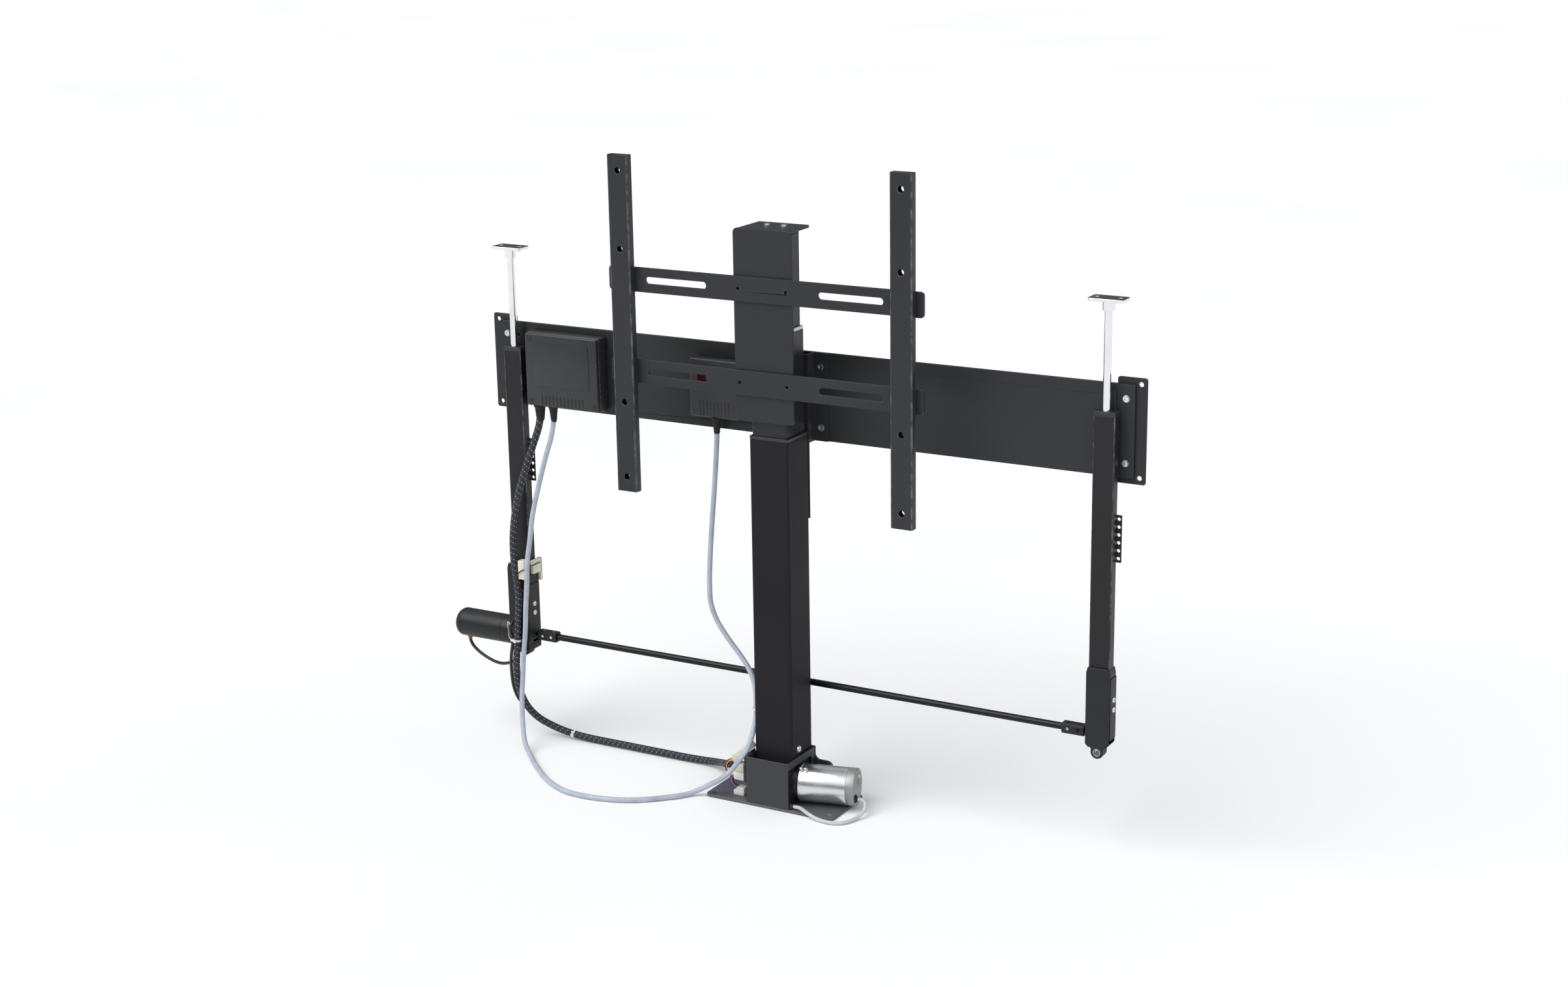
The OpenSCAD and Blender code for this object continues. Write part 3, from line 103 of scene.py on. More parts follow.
class NodeSheet:
    """A node tree while it is drawn up."""

    def __init__(self, tree: Tree) -> None:
        """Takes the tree to draw in."""
        self.tree = tree

    def plug(self, node: Node, key: Union[str, int], value: Value) -> None:
        """Joins a socket to a node's input, or sets the input's value.

        Args:
            node: The node.
            key: The input's name or index.
            value: The socket or the value.
        """
        if isinstance(value, Socket):
            self.tree.links.new(value, node.inputs[key])
        else:
            node.inputs[key].default_value = value

    def add(self, kind: str, values: Optional[dict] = None, **props: str) -> Node:
        """Adds a node.

        Args:
            kind: The node's type name.
            values: Sockets or values for its inputs, by name or index.
            props: Properties of the node itself.

        Returns:
            The new node.
        """
        node = self.tree.nodes.new(kind)
        for key, value in props.items():
            setattr(node, key, value)
        for key, value in (values or {}).items():
            self.plug(node, key, value)
        return node

    def math(self, operation: str, a: Value, b: Value = 0.0) -> Socket:
        """Sum, product or other step on two values."""
        return self.add("ShaderNodeMath", {0: a, 1: b}, operation=operation).outputs[0]

    def remap(self, value: Socket, low: float, high: float, to_low: float = 0.0, to_high: float = 1.0) -> Socket:
        """A value's range stretched to another range and held inside it."""
        ends = {"From Min": low, "From Max": high, "To Min": to_low, "To Max": to_high}
        return self.add("ShaderNodeMapRange", {"Value": value, **ends}).outputs["Result"]

    def mix(self, share: Socket, first: Value, second: Value) -> Socket:
        """A colour between two, each a socket or three numbers."""
        ends = [v if isinstance(v, Socket) else (*v, 1.0) for v in (first, second)]
        return self.add("ShaderNodeMix", {0: share, 6: ends[0], 7: ends[1]}, data_type="RGBA").outputs[2]


class PaintSheet(NodeSheet):
    """A material's nodes around one principled shader."""

    def __init__(self, name: str) -> None:
        """Starts a material with a plain shader.

        Args:
            name: The material's name.
        """
        self.material = bpy.data.materials.new(name)
        self.material.use_nodes = True
        super().__init__(self.material.node_tree)
        self.shader = self.tree.nodes["Principled BSDF"]

    def noise(self, scale: float, detail: float = 2.0, stretch: Point = (1, 1, 1), turn: float = 0.0) -> Socket:
        """A noise over the object.

        Args:
            scale: Features per metre.
            detail: Octaves of finer noise.
            stretch: Share of the scale along each axis.
            turn: Turn of those axes about the column, in degrees.

        Returns:
            The noise's value, about 0.3 to 0.7.
        """
        where = self.add("ShaderNodeTexCoord").outputs["Object"]
        if stretch != (1, 1, 1) or turn:
            ways = {"Scale": stretch, "Rotation": (0, 0, math.radians(-turn))}
            where = self.add("ShaderNodeMapping", {"Vector": where, **ways}, vector_type="POINT").outputs["Vector"]
        sizes = {"Scale": scale, "Detail": detail, "Roughness": 0.55}
        return self.add("ShaderNodeTexNoise", {"Vector": where, **sizes}).outputs["Fac"]

    def along(self) -> bpy.types.NodeOutputs:
        """A cable's own map: X once round it and Y along it, in diameters."""
        return self.add("ShaderNodeSeparateXYZ", {0: self.add("ShaderNodeUVMap", uv_map="Along").outputs["UV"]}).outputs

    def worn(self, share: float) -> Socket:
        """How far an edge is lightened, as rubbed coat and as a painted highlight: up to a share on edges, broken up by
        noise.

        Args:
            share: The share where it is lightened most.

        Returns:
            The lightened share.
        """
        edge = self.add("ShaderNodeAttribute", attribute_name="edge_wear").outputs["Fac"]
        edge_lightening = self.math("MULTIPLY", edge, self.remap(self.noise(90.0, 3.0), 0.42, 0.62, 0.15))
        return self.math("MULTIPLY", edge_lightening, share)

    def bump(self, height: Socket, strength: float, depth: float) -> Socket:
        """A normal roughened by a height from 0 to 1, whose full depth is in metres."""
        return self.add("ShaderNodeBump", {"Height": height, "Strength": strength, "Distance": depth}).outputs["Normal"]

    def feed(self, **values: Value) -> None:
        """Joins sockets to the shader, or sets values that are the same all over."""
        for key, value in values.items():
            self.plug(self.shader, key.replace("_", " "), value)


@dataclass(frozen=True)
class Finish:
    """A finish that pieces share."""

    name: str
    slot: Slot
    colour: Colour
    gloss: float = 0.5

    def material(self) -> bpy.types.Material:
        """Makes the finish's material once.

        Returns:
            The material.
        """
        if self.name not in bpy.data.materials:
            self.make()
        return bpy.data.materials[self.name]

    def make(self) -> None:
        """Draws up the material."""
        raise NotImplementedError

    def shade(self, share: float) -> Colour:
        """The colour made darker or lighter by a share."""
        return tuple(min(1.0, c * share) for c in self.colour)

    def mottle(self, sheet: PaintSheet, value: Socket, low: float, high: float, *shares: float) -> Socket:
        """The colour between two shares of it, as a value goes from low to high."""
        return sheet.mix(sheet.remap(value, low, high), *(self.shade(s) for s in shares))

    def rough(self, sheet: PaintSheet, value: Socket, low: float, high: float, *steps: float) -> Socket:
        """The roughness between two steps from the finish's own, as a value goes from low to high."""
        return sheet.remap(value, low, high, *(self.gloss + s for s in steps))


@dataclass(frozen=True)
class PowderCoat(Finish):
    """Baked powder paint with an orange peel skin, and edges lightened as rubbed paint and as a painted highlight."""

    bare: Colour = (0.19, 0.195, 0.205)
    peel: float = 1500.0
    shine: float = 0.3

    def make(self) -> None:
        """Draws up the paint."""
        sheet = PaintSheet(self.name)
        cloud, grain = sheet.noise(5.0, 3.0), sheet.noise(self.peel)
        tone = self.mottle(sheet, cloud, 0.35, 0.65, 0.92, 1.1)
        tone = sheet.mix(sheet.remap(grain, 0.62, 0.74, 0.0, 0.3), tone, self.shade(2.0))
        # Edges lighten toward the edge tone: rubbed paint, and a painted highlight along them.
        tone = sheet.mix(sheet.worn(0.55), tone, self.bare)
        sheet.feed(Base_Color=tone, Roughness=self.rough(sheet, cloud, 0.35, 0.65, -0.05, 0.07),
                   Normal=sheet.bump(grain, 0.22, 0.00025), Specular_IOR_Level=self.shine)


@dataclass(frozen=True)
class CastAlloy(Finish):
    """Die cast metal with a blasted skin."""

    metal: float = 0.7

    def make(self) -> None:
        """Draws up the casting."""
        sheet = PaintSheet(self.name)
        flow, blast = sheet.noise(38.0, 4.0), sheet.noise(2300.0)
        tone = self.mottle(sheet, flow, 0.32, 0.68, 0.86, 1.12)
        tone = sheet.mix(sheet.remap(blast, 0.6, 0.75, 0.0, 0.35), tone, self.shade(1.5))
        # Edges lighten: rubbed casting, and a painted highlight along them.
        tone = sheet.mix(sheet.worn(0.5), tone, self.shade(1.9))
        sheet.feed(Base_Color=tone, Roughness=self.rough(sheet, flow, 0.3, 0.7, -0.06, 0.08),
                   Normal=sheet.bump(blast, 0.3, 0.0002), Metallic=self.metal, Specular_IOR_Level=0.3)


@dataclass(frozen=True)
class BrightMetal(Finish):
    """Plated, ground or polished metal with fine streaks from the tool."""

    streak: Point = (0.02, 1.0, 1.0)
    turn: float = 0.0
    depth: float = 0.00004

    def make(self) -> None:
        """Draws up the metal."""
        sheet = PaintSheet(self.name)
        lines, haze = sheet.noise(2600.0, 2.0, self.streak, self.turn), sheet.noise(26.0, 3.0)
        tone = self.mottle(sheet, haze, 0.35, 0.65, 0.93, 1.04)
        tone = sheet.mix(sheet.remap(lines, 0.55, 0.75, 0.0, 0.25), tone, self.shade(0.75))
        rough = self.rough(sheet, lines, 0.3, 0.7, -0.04, 0.05)
        rough = sheet.math("ADD", rough, sheet.remap(haze, 0.3, 0.7, -0.02, 0.04))
        sheet.feed(Base_Color=tone, Roughness=rough, Normal=sheet.bump(lines, 0.06, self.depth), Metallic=1.0)


@dataclass(frozen=True)
class Moulded(Finish):
    """Moulded plastic or rubber with a spark eroded grain."""

    grain: float = 1900.0
    glow: float = 0.0
    relief: float = 0.2

    def make(self) -> None:
        """Draws up the moulding."""
        sheet = PaintSheet(self.name)
        flow, grain = sheet.noise(22.0, 3.0), sheet.noise(self.grain, 1.0)
        tone = self.mottle(sheet, flow, 0.35, 0.65, 0.93, 1.06)
        # Edges lighten: rubbed moulding, and a painted highlight along them.
        tone = sheet.mix(sheet.worn(0.35), tone, self.shade(1.5))
        sheet.feed(Base_Color=tone, Roughness=self.rough(sheet, flow, 0.3, 0.7, -0.05, 0.06),
                   Normal=sheet.bump(grain, self.relief, 0.0002))
        if self.glow:
            sheet.feed(Subsurface_Weight=self.glow, Subsurface_Scale=0.002)


@dataclass(frozen=True)
class CableJacket(Finish):
    """Extruded cable skin, with faint lines along it and handling marks."""

    lines: float = 24.0

    def make(self) -> None:
        """Draws up the jacket over the cable's own map."""
        sheet = PaintSheet(self.name)
        marks, fine = sheet.noise(60.0, 4.0), sheet.noise(2400.0, 1.0)
        ridge = sheet.math("SINE", sheet.math("MULTIPLY", sheet.along()["X"], self.lines * 2 * math.pi))
        height = sheet.math("ADD", sheet.math("MULTIPLY", ridge, 0.15), fine)
        sheet.feed(Base_Color=self.mottle(sheet, marks, 0.35, 0.68, 1.05, 0.84),
                   Roughness=self.rough(sheet, marks, 0.3, 0.7, -0.06, 0.08), Normal=sheet.bump(height, 0.14, 0.00015))


@dataclass(frozen=True)
class BraidWeave(Finish):
    """Braided sleeve: crossing strands with a pale tracer that winds round it."""

    tracer: Colour = (0.55, 0.6, 0.7)
    strands: float = 8.0
    pitch: float = 5.0

    def make(self) -> None:
        """Draws up the weave over the sleeve's own map."""
        sheet = PaintSheet(self.name)
        step, own = sheet.math, sheet.along()
        around, along = step("MULTIPLY", own["X"], self.strands), step("MULTIPLY", own["Y"], self.pitch)
        right, left = step("ADD", around, along), step("SUBTRACT", around, along)
        waves = [step("SINE", step("MULTIPLY", way, math.pi)) for way in (right, left, step("ADD", right, left))]
        over = step("GREATER_THAN", waves[2], 0.0)
        height = step("ADD", step("MULTIPLY", step("ABSOLUTE", waves[0]), over),
                      step("MULTIPLY", step("ABSOLUTE", waves[1]), step("SUBTRACT", 1.0, over)))
        wind = step("LESS_THAN", step("FRACT", step("MULTIPLY", right, 0.25)), 0.13)
        pale = step("MULTIPLY", step("MULTIPLY", wind, over), sheet.remap(height, 0.35, 0.75, 0.0, 0.8))
        # The weave is darker down in the hollows between strands, and the pale tracer fades there too: painted shade.
        dark = self.mottle(sheet, height, 0.1, 0.9, 0.35, 1.25)
        sheet.feed(Base_Color=sheet.mix(pale, dark, self.tracer), Normal=sheet.bump(height, 0.55, 0.0006),
                   Roughness=self.rough(sheet, height, 0.0, 1.0, 0.12, -0.05))


# The base housing's light edge tone is partly rubbed paint and partly a painted highlight along its folded edges.
BASE_PAINT = PowderCoat("base_powder_paint", Slot.POWDER, (0.036, 0.038, 0.044), 0.44, bare=(0.5, 0.51, 0.54))
# The plate's paint is lighter than the housing's: partly its own tone, partly a painted sheen where light grazes its
# top.
PLATE_PAINT_WITH_SHEEN = PowderCoat("plate_powder_paint", Slot.POWDER, (0.1, 0.103, 0.115), 0.44, bare=(0.3, 0.31, 0.33))
BLACK_PAINT = PowderCoat("black_powder_paint", Slot.POWDER, (0.024, 0.025, 0.029), 0.46)
DEEP_PAINT = PowderCoat("column_powder_paint", Slot.POWDER, (0.017, 0.0168, 0.021), 0.5, shine=0.08)
LID_PAINT = PowderCoat("lid_tube_paint", Slot.POWDER, (0.012, 0.012, 0.0155), 0.42)
TUBE_PAINT = PowderCoat("inner_tube_paint", Slot.POWDER, (0.02, 0.021, 0.024), 0.36)
MOTOR_PAINT = PowderCoat("lid_motor_paint", Slot.POWDER, (0.013, 0.0135, 0.0165), 0.36, peel=2200.0)
BLACK_CAST = CastAlloy("black_painted_casting", Slot.CAST_BLACK, (0.014, 0.0145, 0.017), 0.48, metal=0.0)
GREY_CAST = CastAlloy("grey_blasted_casting", Slot.CAST_GREY, (0.36, 0.37, 0.37), 0.5)
DARK_CAST = CastAlloy("dark_gearbox_casting", Slot.CAST_GREY, (0.018, 0.018, 0.02), 0.5, metal=0.2)
MOTOR_ZINC = BrightMetal("zinc_plated_can", Slot.ZINC, (0.72, 0.75, 0.77), 0.27, turn=13.6, depth=0.00001)
SCREW_ZINC = BrightMetal("zinc_plated_screws", Slot.ZINC, (0.74, 0.75, 0.76), 0.26, streak=(1, 1, 1))
STEEL = BrightMetal("ground_steel", Slot.STEEL, (0.5, 0.51, 0.53), 0.3, streak=(1, 1, 0.03))
SHAFT_STEEL = BrightMetal("blackened_shaft", Slot.STEEL, (0.03, 0.031, 0.034), 0.36)
CHROME = BrightMetal("chromed_rod", Slot.CHROME, (0.83, 0.84, 0.86), 0.09, streak=(1, 1, 0.02))
BRONZE = BrightMetal("bearing_bronze", Slot.BRONZE, (0.56, 0.4, 0.16), 0.34, streak=(1, 1, 0.2))
BLACK_PLASTIC = Moulded("black_moulding", Slot.PLASTIC, (0.022, 0.023, 0.025), 0.44)
SMOKED_PLASTIC = Moulded("smoked_window", Slot.PLASTIC, (0.03, 0.006, 0.008), 0.1, relief=0.03)
RUBBER = Moulded("black_rubber", Slot.RUBBER, (0.014, 0.014, 0.015), 0.62)
RED_RUBBER = Moulded("red_rubber_ring", Slot.RUBBER, (0.3, 0.06, 0.025), 0.55)
NYLON = Moulded("white_nylon", Slot.NYLON, (0.74, 0.74, 0.71), 0.42, glow=0.15)
CREAM = Moulded("cream_moulding", Slot.CREAM, (0.72, 0.68, 0.56), 0.4, glow=0.12)
WHITE_PLUG = Moulded("white_moulding", Slot.CREAM, (0.8, 0.8, 0.78), 0.38, glow=0.12)
GREY_JACKET = CableJacket("grey_cable_skin", Slot.GREY_SKIN, (0.43, 0.47, 0.55), 0.42)
PALE_JACKET = CableJacket("pale_cable_skin", Slot.GREY_SKIN, (0.55, 0.57, 0.6), 0.4)
BLACK_JACKET = CableJacket("black_cable_skin", Slot.BLACK_SKIN, (0.018, 0.018, 0.02), 0.42)
BRAID = BraidWeave("black_braid", Slot.BRAID, (0.015, 0.017, 0.025), 0.55)
WIRES = tuple(
    CableJacket("wire_" + word, Slot.WIRE, colour, 0.35, lines=6.0)
    for word, colour in (
        ("peach", (0.7, 0.32, 0.18)), ("brown", (0.2, 0.07, 0.025)), ("green", (0.05, 0.26, 0.08)),
        ("blue", (0.03, 0.1, 0.42)), ("purple", (0.16, 0.05, 0.26)), ("pink", (0.62, 0.16, 0.22)),
        ("navy", (0.015, 0.02, 0.09)),
    )
)


def place(name: str, data: bpy.types.ID) -> Obj:
    """Adds an object to the scene, at the origin.

    Args:
        name: The object's name.
        data: Its mesh, lamp or camera.

    Returns:
        The object.
    """
    obj = bpy.data.objects.new(name, data)
    bpy.context.scene.collection.objects.link(obj)
    return obj


def publish(name: str, mesh: Mesh, finish: Finish, *nodes: str, body: Body = Body.FRAME,
            angle: Optional[float] = MOULDED_EDGE) -> Obj:
    """Makes a finished mesh a piece, hangs it on its body and reports it.

    Args:
        name: The piece's name.
        mesh: Its mesh, in metres and in place.
        finish: Its finish.
        nodes: The nodes that it stands for.
        body: The body that it rides on.
        angle: Edges sharper than this stay sharp, or None where shading is already set.

    Returns:
        The piece.
    """
    mesh.name = name
    mesh.materials.clear()
    mesh.materials.append(finish.material())
    if angle is not None:
        mesh.polygons.foreach_set("use_smooth", [True] * len(mesh.polygons))
        mesh.set_sharp_from_angle(angle=math.radians(angle))
    obj = place(name, mesh)
    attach(obj, body.value)
    if nodes:
        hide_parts(*nodes)
    LOG.info("%s rides on %s, %d faces", obj.name, body.value, len(obj.data.polygons))
    return obj


class Sketch:
    """A mesh while it is drawn, in millimetres."""

    def __init__(self) -> None:
        """Starts with nothing drawn."""
        self.bm = bmesh.new()

    def block(self, x: Span, y: Span, z: Span, soft: float = 0.8, steps: int = 2,
              turn: Optional[Matrix] = None) -> "Sketch":
        """Adds a block with rounded edges.

        Args:
            x, y, z: Its two ends along each axis.
            soft: Radius of its edges.
            steps: Faces across each edge.
            turn: A further move, applied last.

        Returns:
            The sketch itself.
        """
        size = Vector([b - a for a, b in (x, y, z)])
        middle = Matrix.Translation([(a + b) / 2 for a, b in (x, y, z)])
        corners = bmesh.ops.create_cube(self.bm, size=1.0, matrix=middle @ Matrix.Diagonal((*size, 1.0)))["verts"]
        edges = list(dict.fromkeys(e for v in corners for e in v.link_edges))
        cut = bmesh.ops.bevel(self.bm, geom=edges, offset=min(soft, min(size) * EDGE_SHARE), segments=steps,
                              affect="EDGES", profile=0.5, clamp_overlap=True)
        if turn is not None:
            moved = dict.fromkeys(v for f in cut["faces"] for v in f.verts)
            bmesh.ops.transform(self.bm, matrix=turn, verts=list(moved))
        return self

    def lathe(self, profile: Sequence[Span], at: Point, axis: Point, sides: int = 48, closed: bool = False) -> "Sketch":
        """Adds a turned shape.

        Args:
            profile: Pairs of distance along the axis and radius. A radius of 0 is a pole.
            at: The point from which distances run.
            axis: The direction of the axis.
            sides: Faces round the axis.
            closed: Whether the last pair joins the first.

        Returns:
            The sketch itself.
        """
        along = Vector(axis).normalized()
        side = along.orthogonal().normalized()
        other = along.cross(side)
        rings = []
        for distance, radius in profile:
            middle = Vector(at) + along * distance
            turns = [2 * math.pi * i / sides for i in range(sides)] if radius else [0.0]
            spots = (middle + radius * (math.cos(a) * side + math.sin(a) * other) for a in turns)
            rings.append([self.bm.verts.new(spot) for spot in spots])
        for first, second in zip(rings, rings[1:] + rings[:1] if closed else rings[1:]):
            for i in range(sides):
                j = (i + 1) % sides
                quad = [first[i % len(first)], first[j % len(first)], second[j % len(second)], second[i % len(second)]]
                corners = list(dict.fromkeys(quad))
                if len(corners) > 2:
                    self.bm.faces.new(corners)
        return self

    def publish(self, name: str, finish: Finish, *nodes: str, **more: Union[Body, float]) -> Obj:
        """Ends the sketch and makes it a piece.

        Args:
            name: The piece's name.
            finish: Its finish.
            nodes: The nodes that it stands for.
            more: A body or an angle, as publish takes them.

        Returns:
            The piece.
        """
        bmesh.ops.recalc_face_normals(self.bm, faces=self.bm.faces)
        bmesh.ops.transform(self.bm, matrix=Matrix.Scale(MM, 4), verts=self.bm.verts)
        mesh = bpy.data.meshes.new(name)
        self.bm.to_mesh(mesh)
        self.bm.free()
        return publish(name, mesh, finish, *nodes, **more)


def settled(obj: Obj) -> Mesh:
    """Turns an object with modifiers into a plain mesh.

    Args:
        obj: The object, which is removed.

    Returns:
        The mesh with every modifier's effect in it.
    """
    bpy.context.view_layer.update()
    graph = bpy.context.evaluated_depsgraph_get()
    mesh = bpy.data.meshes.new_from_object(obj.evaluated_get(graph), preserve_all_data_layers=True, depsgraph=graph)
    old = obj.data
    bpy.data.objects.remove(obj)
    bpy.data.meshes.remove(old)
    return mesh


def mark_edge_wear_and_highlight(mesh: Mesh, soft: float) -> None:
    """Stores how exposed each vertex is, 1 in the middle of a rounded edge and 0 on a face; the finishes lighten these
    edges as wear and as a painted highlight.

    Args:
        mesh: The mesh, in metres.
        soft: Radius of its rounded edges, in millimetres.
    """
    edge_share = 0.7
    widest = np.zeros(len(mesh.vertices))
    points = np.zeros(len(mesh.vertices) * 3)
    mesh.vertices.foreach_get("co", points)
    points = points.reshape(-1, 3)
    for face in mesh.polygons:
        ring = list(face.vertices)
        around = np.linalg.norm(points[ring] - np.roll(points[ring], -1, axis=0), axis=1).sum()
        widest[ring] = np.maximum(widest[ring], 2 * face.area / max(around, 1e-9))
    layer = mesh.attributes.new("edge_wear", "FLOAT", "POINT")
    layer.data.foreach_set("value", (widest < soft * edge_share * MM).astype(np.float32))


@dataclass
class ShellMaker:
    """Makes finished shells from the frame's own nodes: edges rounded, faces smooth, edges marked for wear and a
    painted highlight.
    """

    nodes: dict[str, Obj]
    weld: float = 0.002
    flat_angle: float = 0.4
    round_angle: float = 38.0

    def shell(self, node: str, finish: Finish, soft: float, body: Body = Body.FRAME, steps: int = 2) -> None:
        """Copies a node and rounds its edges, as a piece that stands for the node.

        Args:
            node: The node's name.
            finish: The finish it gets.
            soft: Radius of the edges.
            body: The body it rides on.
            steps: Faces across an edge.
        """
        mesh = self.nodes[node].data.copy()
        bm = bmesh.new()
        bm.from_mesh(mesh)
        bmesh.ops.remove_doubles(bm, verts=bm.verts, dist=self.weld * MM)
        bmesh.ops.dissolve_limit(bm, angle_limit=math.radians(self.flat_angle), verts=bm.verts, edges=bm.edges)
        bm.to_mesh(mesh)
        bm.free()
        for word in ("custom_normal", "sharp_edge", "sharp_face"):
            if word in mesh.attributes:
                mesh.attributes.remove(mesh.attributes[word])
        mesh.polygons.foreach_set("use_smooth", [True] * len(mesh.polygons))
        obj = place(node + "_rough", mesh)
        edge = obj.modifiers.new("Rounded edges", "BEVEL")
        edge.width, edge.segments, edge.limit_method = soft * MM, steps, "ANGLE"
        edge.angle_limit, edge.use_clamp_overlap, edge.miter_outer = math.radians(self.round_angle), False, "MITER_ARC"
        flat = obj.modifiers.new("Flat faces", "WEIGHTED_NORMAL")
        flat.mode, flat.keep_sharp = "FACE_AREA", False
        done = settled(obj)
        mark_edge_wear_and_highlight(done, soft)
        publish(node + "_shell", done, finish, node, body=body, angle=None)

    def dress(self, node: str, finish: Finish) -> None:
        """Gives a node that stays as it is its finish.

        Args:
            node: The node's name.
            finish: The finish it gets.
        """
        materials = self.nodes[node].data.materials
        materials.clear()
        materials.append(finish.material())
        LOG.info("%s keeps its shape, %s", node, finish.name)


@dataclass
class Studio:
    """Camera, floor and light."""

    eye: Point = (1499.094, -2640.858, 1263.616)
    azimuth: float = 29.477
    elevation: float = 15.545
    roll: float = 0.896
    lens: float = 56.296
    sensor: float = 36.0
    floor_half: float = 30.0

    def build(self) -> None:
        """Sets up the camera, the floor, the lamps and the world."""
        for step in (self.camera, self.floor, self.lamps, self.world):
            step()
        bpy.context.scene.view_settings.view_transform = "Standard"

    def camera(self) -> None:
        """Places the camera where the photograph was taken from."""
        turn, tip, roll = (
            Matrix.Rotation(math.radians(angle), 4, axis)
            for angle, axis in ((self.azimuth, "Z"), (90.0 - self.elevation, "X"), (-self.roll, "Z")))
        data = bpy.data.cameras.new("photo_camera")
        data.lens, data.sensor_width, data.sensor_fit = self.lens, self.sensor, "HORIZONTAL"
        data.clip_start, data.clip_end = 0.05, 100.0
        camera = place("photo_camera", data)
        camera.matrix_world = Matrix.Translation(Vector(self.eye) * MM) @ turn @ tip @ roll
        bpy.context.scene.camera = camera

    def floor(self) -> None:
        """Lays the pale floor, a slightly mottled matt sheet."""
        mesh = bpy.data.meshes.new("floor")
        h = self.floor_half
        mesh.from_pydata([(-h, -h, 0), (h, -h, 0), (h, h, 0), (-h, h, 0)], [], [(0, 1, 2, 3)])
        sheet = PaintSheet("pale_floor")
        tone = sheet.mix(sheet.remap(sheet.noise(0.9), 0.3, 0.7), (0.9, 0.9, 0.905), (0.93, 0.93, 0.93))
        sheet.feed(Base_Color=tone, Roughness=0.9, Specular_IOR_Level=0.1)
        mesh.materials.append(sheet.material)
        floor = place("floor", mesh)

    def lamps(self) -> None:
        """Adds two soft suns: a key from the front left and a weak fill from the right."""
        for name, strength, spread, toward in (
            ("key", 2.05, 50.0, (-0.45, -0.65, 1.0)),
            ("fill", 0.35, 70.0, (0.9, -0.5, 0.7)),
        ):
            data = bpy.data.lights.new(name, "SUN")
            data.energy, data.angle = strength, math.radians(spread)
            place(name, data).rotation_euler = Vector(toward).to_track_quat("Z", "Y").to_euler()

    def world(self) -> None:
        """Makes the world: even soft light, and a white room with soft boxes for what the eye and bright metal see."""
        world = bpy.data.worlds.new("studio")
        world.use_nodes = True
        bpy.context.scene.world = world
        world.node_tree.nodes.clear()
        sheet = NodeSheet(world.node_tree)
        rays = sheet.add("ShaderNodeLightPath").outputs
        way = sheet.add("ShaderNodeSeparateXYZ", {0: sheet.add("ShaderNodeTexCoord").outputs["Generated"]}).outputs
        ramp = sheet.add("ShaderNodeValToRGB", {"Fac": way["Z"]})
        stops = ((0.0, 0.1), (0.24, 0.12), (0.4, 0.6), (0.53, 0.96), (0.86, 1.0), (1.0, 0.8))
        while len(ramp.color_ramp.elements) < len(stops):
            ramp.color_ramp.elements.new(0.5)
        for element, (at, level) in zip(ramp.color_ramp.elements, stops):
            element.position, element.color = at, (level, level, level, 1.0)
        dim = sheet.mix(sheet.remap(way["Y"], -0.15, 0.5, 0.0, 0.55), ramp.outputs["Color"], (0.06, 0.065, 0.07))
        pick = sheet.mix(rays["Is Glossy Ray"], (1.0, 1.0, 1.0), dim)
        soft = sheet.add("ShaderNodeBackground", {"Color": (0.97, 0.98, 1.0, 1.0), "Strength": 0.55})
        room = sheet.add("ShaderNodeBackground", {"Color": pick, "Strength": 1.0})
        seen = sheet.math("MAXIMUM", rays["Is Camera Ray"], rays["Is Glossy Ray"])
        seen = sheet.math("MAXIMUM", seen, rays["Is Transmission Ray"])
        join = sheet.add("ShaderNodeMixShader", {0: seen, 1: soft.outputs[0], 2: room.outputs[0]})
        sheet.add("ShaderNodeOutputWorld", {"Surface": join.outputs[0]})


def smooth_line(points: Sequence[Point], step: float) -> list[Vector]:
    """A smooth line through points.

    Args:
        points: The points, in millimetres.
        step: Spacing of the result.

    Returns:
        Points close together on a curve that passes through the given ones.
    """
    knots = [Vector(p) for p in points]
    knots = [knots[0] * 2 - knots[1], *knots, knots[-1] * 2 - knots[-2]]
    line = []
    for i in range(1, len(knots) - 2):
        p, t = knots[i - 1:i + 3], [0.0]
        for a, b in zip(p, p[1:]):
            t.append(t[-1] + math.sqrt(max((b - a).length, 1e-6)))
        count = max(2, round((p[2] - p[1]).length / step))
        for k in range(count):
            u = t[1] + (t[2] - t[1]) * k / count
            a = [p[j].lerp(p[j + 1], (u - t[j]) / (t[j + 1] - t[j])) for j in range(3)]
            b = [a[j].lerp(a[j + 1], (u - t[j]) / (t[j + 2] - t[j])) for j in range(2)]
            line.append(b[0].lerp(b[1], (u - t[1]) / (t[2] - t[1])))
    line.append(knots[-2].copy())
    return line


